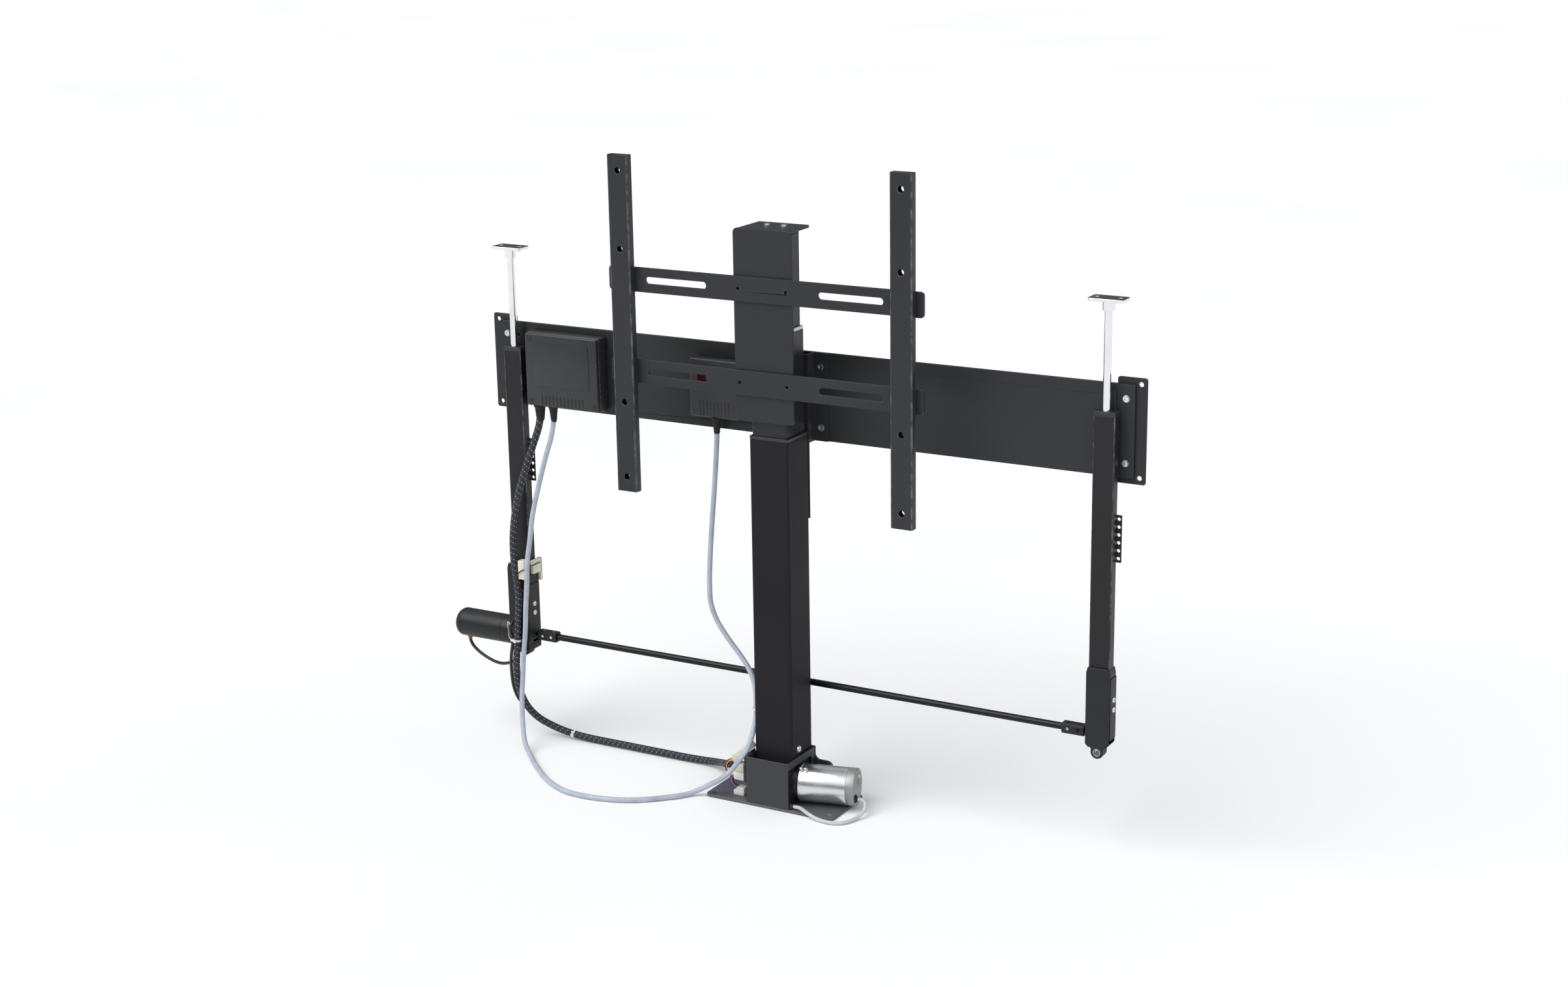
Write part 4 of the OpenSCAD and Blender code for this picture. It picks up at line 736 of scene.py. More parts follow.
def tube(name: str, line: Sequence[Vector], radius: float, sides: int, finish: Finish, *nodes: str) -> Obj:
    """Makes a round tube along a line, with a map of its own: once round, and along in diameters.

    Args:
        name: The piece's name.
        line: Points close together, in millimetres.
        radius: The tube's radius.
        sides: Faces round it.
        finish: Its finish.
        nodes: The nodes that it stands for.

    Returns:
        The piece, on the fixed frame.
    """
    bm = bmesh.new()
    layer = bm.loops.layers.uv.new("Along")
    normal = (line[1] - line[0]).orthogonal().normalized()
    rings, lengths, run = [], [], 0.0
    for i, here in enumerate(line):
        ahead = (line[min(i + 1, len(line) - 1)] - line[max(i - 1, 0)]).normalized()
        normal = (normal - ahead * normal.dot(ahead)).normalized()
        other = ahead.cross(normal)
        run += (here - line[i - 1]).length if i else 0.0
        lengths.append(run / (2 * radius))
        rings.append([bm.verts.new((here + radius * (math.cos(a) * normal + math.sin(a) * other)) * MM)
                      for a in (2 * math.pi * j / sides for j in range(sides))])
    for i in range(len(rings) - 1):
        for j in range(sides):
            k = (j + 1) % sides
            face = bm.faces.new((rings[i][j], rings[i][k], rings[i + 1][k], rings[i + 1][j]))
            for loop, uv in zip(face.loops, ((j, i), (j + 1, i), (j + 1, i + 1), (j, i + 1))):
                loop[layer].uv = (uv[0] / sides, lengths[uv[1]])
    bm.faces.new(rings[0][::-1])
    bm.faces.new(rings[-1])
    mesh = bpy.data.meshes.new(name)
    bm.to_mesh(mesh)
    bm.free()
    return publish(name, mesh, finish, *nodes, angle=TUBE_EDGE)


@dataclass(frozen=True)
class Route:
    """One cable: its points along the middle line and what it is."""

    name: str
    points: tuple[Point, ...]
    diameter: float
    finish: Finish
    node: str
    far_end: str
    stiffness: str
    sides: int = 16

    def lay(self, *pieces: Obj) -> None:
        """Args:
            pieces: The separate pieces at its far end; not used.
        """
        spacing, clear = 3.0, 0.05
        line = smooth_line(self.points, spacing)
        for point in line:
            point.z = max(point.z, self.diameter / 2 + clear)
        obj = tube(self.name, line, self.diameter / 2, self.sides, self.finish, self.node)


@dataclass
class CableLoom:
    """The cables, the ties that hold them and the reliefs where they leave a housing."""

    grey: Route = Route(
        "grey_cable_run",
        ((-372, 35, 487.7), (-372, 35, 472), (-376, 33, 446), (-385, 29, 414), (-393, 22, 376), (-399.5, 14, 336),
         (-401, 7, 302), (-403.6, 2, 270), (-405.8, 2, 241), (-411.5, 5, 204), (-416.5, 8, 166), (-421.2, 10, 141),
         (-423.6, 9.5, 116), (-424.5, 7.5, 92), (-423, 2, 68), (-415, -10, 33), (-404, -22, 14), (-386, -37, 4.4),
         (-362, -60, 3.6), (-334, -85, 3.6), (-312, -102, 3.6), (-288, -116, 3.6), (-264, -125, 3.6),
         (-238, -127, 3.6), (-212, -124, 3.6), (-187, -117, 3.6), (-168, -108, 3.6), (-150, -95, 3.6),
         (-135, -81, 3.6), (-124, -70.5, 3.6), (-118, -62.5, 3.6), (-112.5, -55.5, 4.4), (-106.8, -50.5, 6.8),
         (-99.4, -47.6, 10.6), (-89.4, -46.3, 16.9), (-78.9, -45.5, 23.5), (-68.4, -44.8, 31.2), (-58.4, -44, 40.4),
         (-51.3, -43.1, 48.6), (-45.5, -42, 57), (-39.5, -40.8, 65), (-35, -38.8, 72.5), (-32.6, -36, 80),
         (-31.9, -30.6, 87.5), (-32.2, -24.5, 95.5), (-32.5, -19, 104.5), (-32.5, -16, 114), (-32.5, -15, 124),
         (-32.6, -14.6, 136), (-34.6, -12, 148), (-40.5, -6.5, 160), (-51, 0, 172), (-66.5, 4, 188), (-86, 6, 208),
         (-102, 6, 230), (-111, 6, 253), (-113, 7, 280), (-113, 10, 315), (-113, 16, 355), (-113, 24, 400),
         (-113, 31, 445), (-113, 35, 480), (-113, 35, 499.7)),
        7.0, GREY_JACKET, "grey_cable", "object", "medium")
    sleeve: Route = Route(
        "braided_sleeve_run",
        ((-60.4, -25, 43.2), (-68, -25, 43), (-74.5, -22.8, 41.6), (-82, -14.5, 37.8), (-90, -2.5, 32),
         (-98.5, 10, 26), (-107, 21.5, 21), (-118, 33, 15.5), (-130, 42, 11.2), (-145, 47.5, 8), (-162, 49.3, 6.4),
         (-185, 49.5, 5.8), (-212, 49.5, 5.8), (-240, 49.5, 5.8), (-268, 49.5, 5.8), (-296, 49.5, 5.8),
         (-324, 49.5, 5.8), (-352, 49, 6.5), (-378, 47.5, 9.5), (-402, 43, 17), (-420, 35, 29), (-430, 25.5, 46),
         (-434, 16.5, 67), (-435.5, 11, 90), (-434.7, 8.8, 112), (-433.1, 8.5, 130), (-431, 8.5, 151),
         (-428.6, 8.5, 179), (-426, 8.5, 205), (-425.7, 8.5, 222), (-427.3, 8.5, 240), (-429.7, 8.7, 258),
         (-431.5, 9.4, 278), (-431.8, 10.8, 302), (-429.5, 14, 332), (-424, 17.5, 364), (-414, 22, 398),
         (-404, 27.5, 430), (-396, 33, 458), (-394, 35, 474), (-394, 35, 487.7)),
        10.0, BRAID, "braided_sleeve", "object", "medium", 24)
    lid: Route = Route(
        "lid_motor_lead",
        ((-532.5, 35, 134.7), (-532.3, 35, 128), (-528.5, 34.8, 121), (-520, 33.5, 115), (-508, 31, 110.3),
         (-495, 28, 107.2), (-482, 24.5, 105.8), (-469, 21, 106.6), (-457, 18, 109.8), (-448, 16.4, 113.4),
         (-442, 15.2, 117.4), (-437.8, 14.1, 121.4)),
        4.5, BLACK_JACKET, "lid_motor_cable", "object", "limp")
    switch: Route = Route(
        "limit_switch_lead",
        ((-438.4, 14.7, 177), (-438.7, 11.3, 176.4), (-439.4, 7.6, 174.1), (-440.1, 5.3, 170.4), (-440.5, 4.7, 166.5),
         (-440.4, 5.7, 161.5), (-439.8, 7.6, 156.5), (-439.2, 8.5, 151), (-439.8, 8.6, 143.5), (-441.9, 8.5, 132.5),
         (-443.5, 8.8, 121.4), (-444.4, 9.5, 108), (-445.1, 11, 94.4), (-445.6, 14, 80.5), (-445.2, 18, 68),
         (-443.4, 22.8, 57), (-440.3, 27, 50), (-436, 31, 44.8), (-431.8, 35, 38), (-428.2, 36.8, 32.8)),
        4.5, BLACK_JACKET, "lid_motor_cable", "object", "limp")
    lift: Route = Route(
        "lift_motor_lead",
        ((112.477, -4.368, 19.8), (117.046, -3.263, 19.5), (121.6, -3.4, 17.6), (124.6, -6.6, 14), (125.6, -12.4, 9.4),
         (124, -20.5, 5.6), (120.8, -30, 3.2), (117, -40, 2.8), (111, -48.5, 2.8), (101, -53.6, 2.8), (88, -54.5, 3),
         (75, -53, 4.2), (64, -50, 6.4), (54.5, -45.8, 8), (47.5, -41.8, 8.3), (42, -40.1, 7.9), (36.4, -40, 7.8)),
        5.0, PALE_JACKET, "lift_motor_cable", "connector", "limp")

    def build(self) -> None:
        """Lays every cable, then adds ties and reliefs."""
        for route in (self.grey, self.sleeve, self.lid, self.switch):
            route.lay()
        plug = Sketch().block((28.4, 34.5), (-43.3, -36.7), (4.1, 11.4), 0.6)
        neck = [(0.0, 0.0), (0.0, 3.3), (0.9, 3.2), (1.3, 2.7), (1.7, 2.6), (1.7, 0.0)]
        plug.lathe(neck, (34.3, -40, 7.8), (1, 0, 0), 24)
        self.lift.lay(plug.publish("lift_lead_plug", BLACK_PLASTIC, "connectors"))
        self.ties()
        self.reliefs()

    def ties(self) -> None:
        """Makes the white cable ties: a band, its lock and a cut tail."""
        sketch = Sketch()
        for at, axis, radius, head in (
            ((-368, 48.3, 8.05), (0.992, 0.057, -0.1145), 5.1, (0, -1, 0)),
            ((-431, 8.5, 151), (0.0872, 0, 0.9962), 5.1, (0, -1, 0)),
            ((-439.2, 8.5, 151), (0, -0.0767, 0.9971), 2.35, None),
            ((-32.5, -15, 124), (0, 0, 1), 3.6, (-1, 0, 0)),
        ):
            band = [(-1.5, radius), (-1.3, radius + 0.5), (1.3, radius + 0.5), (1.5, radius)]
            sketch.lathe(band, at, axis, 32, True)
            if head:
                along, out = Vector(axis).normalized(), Vector(head)
                grid = Matrix((along.cross(out), out, along)).transposed().to_4x4()
                grid.translation = Vector(at) + out * (radius + 0.2)
                sketch.block((-2.0, 2.0), (0.0, 2.6), (-2.1, 2.1), 0.5, 2, grid)
                sketch.block((-7.0, -1.8), (1.0, 1.7), (-1.3, 1.3), 0.25, 1, grid)
        sketch.publish("white_cable_ties", NYLON, "cable_ties")
        tail = smooth_line((
            (-441.6, 6.9, 150.8), (-442.9, 6, 153.6), (-443.3, 5.4, 161), (-443.2, 4.4, 170), (-442.8, 3.6, 175),
            (-441.4, 2.6, 178), (-439.6, 2.4, 177.4), (-438.8, 2.4, 174.6)), 1.0)
        tube("tie_tail", tail, 0.5, 8, NYLON, "cable_ties")

    def reliefs(self) -> None:
        """Adds tapered, ringed reliefs where cables leave a box or a motor."""
        sketch = Sketch()
        for at, radius in (((-372, 35, 488), 3.5), ((-394, 35, 488), 5.0), ((-113, 35, 500), 3.5)):
            profile = [(0.0, 0.0), (0.0, radius + 3.6), (2.4, radius + 3.4), (3.0, radius + 2.6)]
            for i in range(5):
                z, r = 4.0 + i * 3.4, radius + 2.3 - i * 0.36
                profile += [(z, r), (z + 1.9, r - 0.1), (z + 2.1, r - 0.7), (z + 3.0, r - 0.7)]
            profile += [(21.5, radius + 0.4), (21.5, radius - 0.2), (21.4, 0.0)]
            sketch.lathe(profile, at, (0, 0, -1), 32)
        ring = [(-1.0, 0.0), (-1.0, 3.7), (0.6, 3.7), (1.0, 3.3), (1.2, 2.9), (2.3, 2.7), (2.5, 2.4), (2.5, 0.0)]
        sketch.lathe(ring, (-438.4, 15, 177), (0, -1, 0), 28)
        sketch.publish("cable_reliefs", RUBBER)


class PieceTree(NodeSheet):
    """A geometry node tree that sets pieces on points, with named inputs for its sizes."""

    def __init__(self, name: str, inputs: dict[str, str]) -> None:
        """Starts the tree.

        Args:
            name: The tree's name.
            inputs: The kind of each input, by its name.
        """
        super().__init__(bpy.data.node_groups.new(name, "GeometryNodeTree"))
        for word, kind in {"Points": "Geometry", **inputs, "Finish": "Material"}.items():
            self.tree.interface.new_socket(word, in_out="INPUT", socket_type="NodeSocket" + kind)
        self.tree.interface.new_socket("Pieces", in_out="OUTPUT", socket_type="NodeSocketGeometry")
        self.given = self.add("NodeGroupInput").outputs

    def end(self, pieces: Socket) -> Tree:
        """Makes the pieces real, gives them their finish and ends the tree.

        Args:
            pieces: The instances.

        Returns:
            The tree.
        """
        real = self.add("GeometryNodeRealizeInstances", {0: pieces}).outputs[0]
        coat = self.add("GeometryNodeSetMaterial", {"Geometry": real, "Material": self.given["Finish"]})
        self.add("NodeGroupOutput", {0: coat.outputs[0]})
        return self.tree


def seeded(name: str, points: Sequence[Point], tree: Tree, values: dict) -> Obj:
    """Puts points into the scene, with a tree that sets pieces on them.

    Args:
        name: The pieces' name.
        points: The points.
        tree: The tree.
        values: Values for its inputs, by name.

    Returns:
        The points, not yet evaluated.
    """
    mesh = bpy.data.meshes.new(name)
    mesh.from_pydata([Vector(p) * MM for p in points], [], [])
    obj = place(name + "_points", mesh)
    modifier = obj.modifiers.new("Pieces", "NODES")
    modifier.node_group = tree
    for item in tree.interface.items_tree:
        if item.item_type == "SOCKET" and item.in_out == "INPUT" and item.name in values:
            modifier[item.identifier] = values[item.name]
    return obj


@dataclass
class ScrewField:
    """All the screws of one body, set by geometry nodes."""

    name: str
    body: Body
    finish: Finish
    nodes: tuple[str, ...] = ()
    head_radius: float = 4.2
    head_height: float = 1.6
    socket_radius: float = 2.0
    socket_depth: float = 1.2
    washer_radius: float = 4.5
    washer_height: float = 0.4
    seats: list[tuple[Point, Point, float]] = field(default_factory=list)

    def seat(self, at: Point, facing: Point, grow: float = 1.0) -> None:
        """Adds a screw at a point, facing a direction, at a share of the full size."""
        self.seats.append((at, facing, grow))

    def sizes(self) -> dict[str, float]:
        """The sizes of a screw in metres, by the names of the tree's inputs."""
        lengths = {key: value for key, value in vars(self).items() if isinstance(value, float)}
        return {key.replace("_", " ").title(): value * MM for key, value in lengths.items()}

    def tree(self) -> Tree:
        """Builds the tree that sets a socket screw with its washer on each point, once.

        Returns:
            The tree.
        """
        name, round_sides, hex_sides = "socket_screws", 28, 6
        if name in bpy.data.node_groups:
            return bpy.data.node_groups[name]
        sheet = PieceTree(name, dict.fromkeys(self.sizes(), "Float"))
        given, base = sheet.given, sheet.given["Washer Height"]

        def lifted(node: Node, height: Socket) -> Socket:
            """Lifts a node's mesh by a height along its own Z."""
            rise = sheet.add("ShaderNodeCombineXYZ", {"Z": height}).outputs[0]
            return sheet.add("GeometryNodeTransform", {0: node.outputs["Mesh"], "Translation": rise}).outputs[0]

        foot, taper = given["Head Radius"], sheet.math("MULTIPLY", given["Head Radius"], 0.9)
        through = sheet.math("MULTIPLY", given["Socket Depth"], 2.0)
        head = sheet.add("GeometryNodeMeshCone", {"Vertices": round_sides, "Side Segments": 1, "Radius Top": taper,
                                                  "Radius Bottom": foot, "Depth": given["Head Height"]})
        hexagon, washer = (
            sheet.add("GeometryNodeMeshCylinder", {"Vertices": sides, "Radius": given[radius], "Depth": depth})
            for sides, radius, depth in ((hex_sides, "Socket Radius", through), (round_sides, "Washer Radius", base)))
        top = sheet.math("ADD", base, given["Head Height"])
        cut = sheet.add("GeometryNodeMeshBoolean", {"Mesh 1": lifted(head, base), "Mesh 2": lifted(hexagon, top)},
                        operation="DIFFERENCE")
        both = sheet.add("GeometryNodeJoinGeometry", {0: cut.outputs["Mesh"]})
        sheet.plug(both, 0, lifted(washer, sheet.math("MULTIPLY", base, 0.5)))
        facing, grow = (
            sheet.add("GeometryNodeInputNamedAttribute", {"Name": word}, data_type=kind).outputs["Attribute"]
            for word, kind in (("facing", "FLOAT_VECTOR"), ("grow", "FLOAT")))
        align = sheet.add("FunctionNodeAlignRotationToVector", {"Vector": facing}, axis="Z").outputs[0]
        spread = sheet.add("GeometryNodeInstanceOnPoints", {
            "Points": given["Points"], "Instance": both.outputs[0], "Rotation": align, "Scale": grow})
        return sheet.end(spread.outputs[0])

    def build(self) -> None:
        """Sets every screw and turns them into one plain mesh."""
        values = {**self.sizes(), "Finish": self.finish.material()}
        obj = seeded(self.name, [at for at, _, _ in self.seats], self.tree(), values)
        facing = obj.data.attributes.new("facing", "FLOAT_VECTOR", "POINT")
        facing.data.foreach_set("vector", [v for _, way, _ in self.seats for v in way])
        grow = obj.data.attributes.new("grow", "FLOAT", "POINT")
        grow.data.foreach_set("value", [size for _, _, size in self.seats])
        publish(self.name, settled(obj), self.finish, *self.nodes, body=self.body, angle=SCREW_EDGE)


@dataclass
class RibRow:
    """Rows of equal ribs or slots on the fixed frame, set by geometry nodes."""

    name: str
    starts: tuple[Point, ...]
    count: int
    step: Point
    size: Point
    soft_share: float = 0.3

    def tree(self) -> Tree:
        """Builds the tree that repeats a bar along a line from each point, once.

        Returns:
            The tree.
        """
        name = "row_of_ribs"
        if name in bpy.data.node_groups:
            return bpy.data.node_groups[name]
        sheet = PieceTree(name, {"Count": "Int", "Step": "Vector", "Size": "Vector"})
        given = sheet.given
        line = sheet.add("GeometryNodeMeshLine", {"Count": given["Count"], "Offset": given["Step"]}).outputs[0]
        bar = sheet.add("GeometryNodeMeshCube", {"Size": given["Size"]}).outputs["Mesh"]
        row = sheet.add("GeometryNodeInstanceOnPoints", {"Points": line, "Instance": bar}).outputs[0]
        rows = sheet.add("GeometryNodeInstanceOnPoints", {"Points": given["Points"], "Instance": row})
        return sheet.end(rows.outputs[0])

    def build(self, finish: Finish) -> None:
        """Sets the ribs and turns them into one plain mesh.

        Args:
            finish: The ribs' finish.
        """
        step, size = (tuple(v * MM for v in way) for way in (self.step, self.size))
        values = {"Count": self.count, "Step": step, "Size": size, "Finish": finish.material()}
        obj = seeded(self.name, self.starts, self.tree(), values)
        soft = obj.modifiers.new("Rounded edges", "BEVEL")
        soft.width, soft.segments = min(self.size) * self.soft_share * MM, 2
        publish(self.name, settled(obj), finish, angle=RIB_EDGE)


@dataclass
class LiftMotor:
    """The lift motor: plated can, blasted end cap, posts and the cable's grommet."""

    yaw: float = 13.6
    axis_y: float = -16.0
    axis_z: float = 30.5
    start: float = 29.0
    can_end: float = 93.0
    cap_end: float = 104.5
    radius: float = 25.0
    post_tilt: float = 30.0
    grommet_y: float = -14.7
    grommet_z: float = -10.7
    bolt_circle: float = 14.2
    bolt_angles: Span = (62.0, 242.0)
    bolt_size: float = 0.55

    def spot(self, s: float, y: float, z: float) -> Point:
        """A point or direction given along the motor, across it and up, in the part's frame."""
        a = math.radians(self.yaw)
        return (s * math.cos(a) - y * math.sin(a), s * math.sin(a) + y * math.cos(a), z)

    def build(self) -> None:
        """Makes the motor's pieces."""
        at, along, r = self.spot(0, self.axis_y, self.axis_z), self.spot(1, 0, 0), self.radius
        s0, s1, s2 = self.start, self.can_end, self.cap_end
        can = [
            (s0, 8.2), (s0, r - 0.5), (s0 + 0.3, r + 0.1), (s0 + 0.5, r + 0.38), (s0 + 1.3, r + 0.38),
            (s0 + 1.6, r + 0.1), (s0 + 1.9, r - 0.05), (s0 + 2.4, r), (s1 - 0.5, r), (s1 - 0.15, r - 0.15),
            (s1, r - 0.5), (s1, r - 2), (s0 + 3, r - 2), (s0 + 3, 8.2)]
        Sketch().lathe(can, at, along, 96, True).publish("motor_can_shell", MOTOR_ZINC, "motor_can", angle=TURNED_EDGE)
        cap = [
            (s2 + 0.5, 0.0), (s2 + 0.5, 3.1), (s1 + 6, 3.1), (s1 + 6, 15), (s1, 15), (s1, r - 0.5),
            (s1 + 0.2, r - 0.12), (s1 + 0.6, r), (s2 - 1.5, r), (s2 - 0.9, r - 0.2), (s2 - 0.3, r - 0.8),
            (s2, r - 1.6), (s2, 20.4), (s2 - 0.5, 20.1), (s2 - 0.5, 18.9), (s2, 18.6), (s2, 13.4),
            (s2 + 0.25, 12.7), (s2 + 3.6, 6.4), (s2 + 3.9, 5.9), (s2 + 4, 5.3), (s2 + 4, 3.4), (s2 + 3.5, 3.1),
            (s2 + 3.5, 0.0)]
        Sketch().lathe(cap, at, along, 96).publish("motor_cap_shell", GREY_CAST, "motor_end_cap", angle=TURNED_EDGE)
        hole = self.spot(0, self.axis_y + self.grommet_y, self.axis_z + self.grommet_z)
        ring = [(s2 + s, across) for s, across in (
            (-4.4, 0.0), (-4.4, 4.4), (0.1, 4.4), (0.2, 5.6), (1.2, 5.5), (1.4, 4.2), (2.2, 4.0), (2.3, 3.5),
            (2.8, 3.5), (2.9, 3.7), (3.4, 3.4), (3.5, 0.0))]
        Sketch().lathe(ring, hole, along, 32).publish("cable_grommet_shell", RUBBER, "cable_grommet")
        posts, tilt = Sketch(), math.radians(self.post_tilt)
        post = [(r + s, across) for s, across in (
            (-1.8, 0.0), (-1.8, 2.1), (0.4, 2.1), (0.5, 2.9), (1.2, 2.9), (1.4, 2.2), (4.6, 2.1), (5.3, 1.7),
            (5.5, 0.9), (5.5, 0.0))]
        for s in (s0 + 2.6, s0 + 9.0):
            posts.lathe(post, self.spot(s, self.axis_y, self.axis_z), self.spot(0, -math.sin(tilt), math.cos(tilt)), 24)
        posts.publish("motor_posts", SCREW_ZINC, "frame_screws")

    def cap_bolts(self, screws: ScrewField) -> None:
        """Seats the two long bolts on the end cap.

        Args:
            screws: The field that takes them.
        """
        for a in map(math.radians, self.bolt_angles):
            y, z = self.axis_y + self.bolt_circle * math.cos(a), self.axis_z + self.bolt_circle * math.sin(a)
            screws.seat(self.spot(self.cap_end, y, z), self.spot(1, 0, 0), self.bolt_size)


@dataclass
class Assembly:
    """A sub-assembly, with the shells that it takes from the frame's nodes."""

    shells: ShellMaker
    rows: tuple[tuple, ...] = ()

    def build(self) -> None:
        """Makes the shells: node, finish, edge radius, then body and faces across an edge where it has them."""
        for row in self.rows:
            self.shells.shell(*row)


@dataclass
class BaseUnit(Assembly):
    """Base plate, folded housing, gusset and gearbox."""

    rows: tuple[tuple, ...] = (
        ("base_plate", PLATE_PAINT_WITH_SHEEN, 0.8), ("base_housing", BASE_PAINT, 0.9), ("rear_gusset", BASE_PAINT, 0.7),
        ("gearbox_body", DARK_CAST, 0.8), ("gearbox_cover", DARK_CAST, 0.6))


@dataclass
class Column(Assembly):
    """The three tubes of the lifting column with their collars and glides."""

    rows: tuple[tuple, ...] = (
        ("outer_column", DEEP_PAINT, 0.5), ("column_collar", BLACK_PLASTIC, 0.6),
        ("middle_tube", TUBE_PAINT, 0.5, Body.MIDDLE), ("middle_glides", NYLON, 0.4, Body.MIDDLE),
        ("inner_tube", TUBE_PAINT, 0.5, Body.INNER), ("head_cap", BLACK_PAINT, 0.6, Body.INNER))


@dataclass
class ScreenBracket(Assembly):
    """Spine, cross bars and the two arms that carry the screen."""

    rows: tuple[tuple, ...] = tuple(
        (node, BLACK_PAINT, 0.7, Body.INNER) for node in ("spine", "cross_bars", "left_arm", "right_arm"))
    arm_x: float = 200.0
    arm_y: Span = (-51.0, -39.0)
    arm_z: Span = (410.0, 850.0)

    def build(self) -> None:
        """Makes the bracket's shells, and the ribbed plugs in the ends of its arms."""
        super().build()
        plugs = Sketch()
        y0, y1 = self.arm_y
        for x in (-self.arm_x, self.arm_x):
            for z, up in ((self.arm_z[0], 1), (self.arm_z[1], -1)):
                ends, ribs = sorted((z + up * 0.15, z + up * 1.6)), sorted((z + up * 1.2, z + up * 9))
                plugs.block((x - 12.8, x + 12.8), (y0 + 2.2, y1 - 2.2), ends, 0.5)
                for dx in (-8.0, 0.0, 8.0):
                    plugs.block((x + dx - 0.9, x + dx + 0.9), (y0 + 2.4, y1 - 2.4), ribs, 0.3, 1)
        plugs.publish("arm_end_plugs", BLACK_PLASTIC, body=Body.INNER)


@dataclass
class RearRail(Assembly):
    """The rail behind the column with its end plates, clamp and straps."""

    rows: tuple[tuple, ...] = (
        ("cross_rail", BLACK_PAINT, 0.7), ("end_plates", BLACK_PAINT, 0.7), ("column_clamp", BLACK_PAINT, 0.6),
        ("actuator_straps", BLACK_PAINT, 0.6))


@dataclass
class LidActuators(Assembly):
    """The two lid actuators: gear housings, tubes, guides, rods, and the drive that links them."""

    rows: tuple[tuple, ...] = (
        ("left_gear_housing", BLACK_CAST, 1.2, Body.FRAME, 3), ("right_gear_housing", BLACK_CAST, 1.2, Body.FRAME, 3),
        ("side_covers", BLACK_CAST, 0.35), ("actuator_tubes", LID_PAINT, 0.4), ("rod_guides", BLACK_PLASTIC, 0.5),
        ("tube_strips", BLACK_PAINT, 0.4), ("lug_bushes", STEEL, 0.25), ("left_rod", CHROME, 0.5, Body.LEFT_ROD),
        ("right_rod", CHROME, 0.5, Body.RIGHT_ROD), ("shaft_couplers", BLACK_CAST, 0.9, Body.CROSS_SHAFT, 3))
    act_y: float = 35.0
    shaft_z: float = 155.0
    motor_x: Span = (-548.0, -448.0)
    motor_radius: float = 20.0
    lead_x: float = -532.5
    coupler_front: float = 29.6
    coupler_rise: float = 5.6

    def build(self) -> None:
        """Makes the actuators' shells, the left housing's foot, the motor and the set screws."""
        super().build()
        foot = Sketch().block((-422.8, -415.6), (15.6, 44.6), (135, 143.2), 0.8, 3)
        foot.block((-421.9, -416.3), (16.6, 43.6), (134.2, 136.5), 0.6)
        foot.publish("left_housing_foot", BLACK_CAST, "left_gear_housing")
        self.motor()
        self.set_screws()

    def motor(self) -> None:
        """Turns the lid motor: a domed end, a joint groove and a flange at the gear housing."""
        r, end = self.motor_radius, self.motor_x[1] - self.motor_x[0]
        outline = [(0.0, 0.0), (0.0, 9.0), (0.35, 11.2), (1.3, 13.6), (2.7, 15.8), (4.6, 17.7), (6.8, 19.1),
                   (8.8, 19.8), (10.4, r), (11.6, r), (11.8, r - 0.35), (12.5, r - 0.35), (12.7, r), (81.0, r),
                   (81.2, r - 0.4), (82.4, r - 0.4), (82.6, r), (end - 0.7, r), (end - 0.2, r - 0.25), (end, r - 0.8),
                   (end, 4.0), (end - 38, 4.0), (end - 38, 0.0)]
        sketch = Sketch().lathe(outline, (self.motor_x[0], self.act_y, self.shaft_z), (1, 0, 0), 80)
        sketch.publish("lid_motor_shell", MOTOR_PAINT, "lid_motor", angle=TURNED_EDGE)
        ring = [(-1.5, 0.0), (-1.5, 3.9), (1.2, 3.9), (1.6, 3.5), (3.4, 3.1), (3.8, 2.7), (5.4, 2.6), (5.5, 0.0)]
        under = (self.lead_x, self.act_y, self.shaft_z - r)
        Sketch().lathe(ring, under, (0, 0, -1), 28).publish("lid_lead_ring", RED_RUBBER)

    def set_screws(self) -> None:
        """Seats the set screws of the couplers, bright on the left and dull on the right."""
        for name, finish, front, top in (
            ("coupler_screws", SCREW_ZINC, (-388.0, -402.0), (-387.0, -403.0)),
            ("coupler_dull_screws", STEEL, (391.0,), ()),
            ("coupler_grub_screws", SHAFT_STEEL, (405.0,), (390.0, 406.0)),
        ):
            screws = ScrewField(name, Body.CROSS_SHAFT, finish, (), 2.2, 1.2, 1.2, 0.9, 2.3, 0.2)
            for x in front:
                screws.seat((x, self.coupler_front, self.shaft_z), (0, -1, 0), 0.95)
            for x in top:
                screws.seat((x, self.act_y, self.shaft_z + self.coupler_rise), (0, 0, 1), 0.85)
            screws.build()


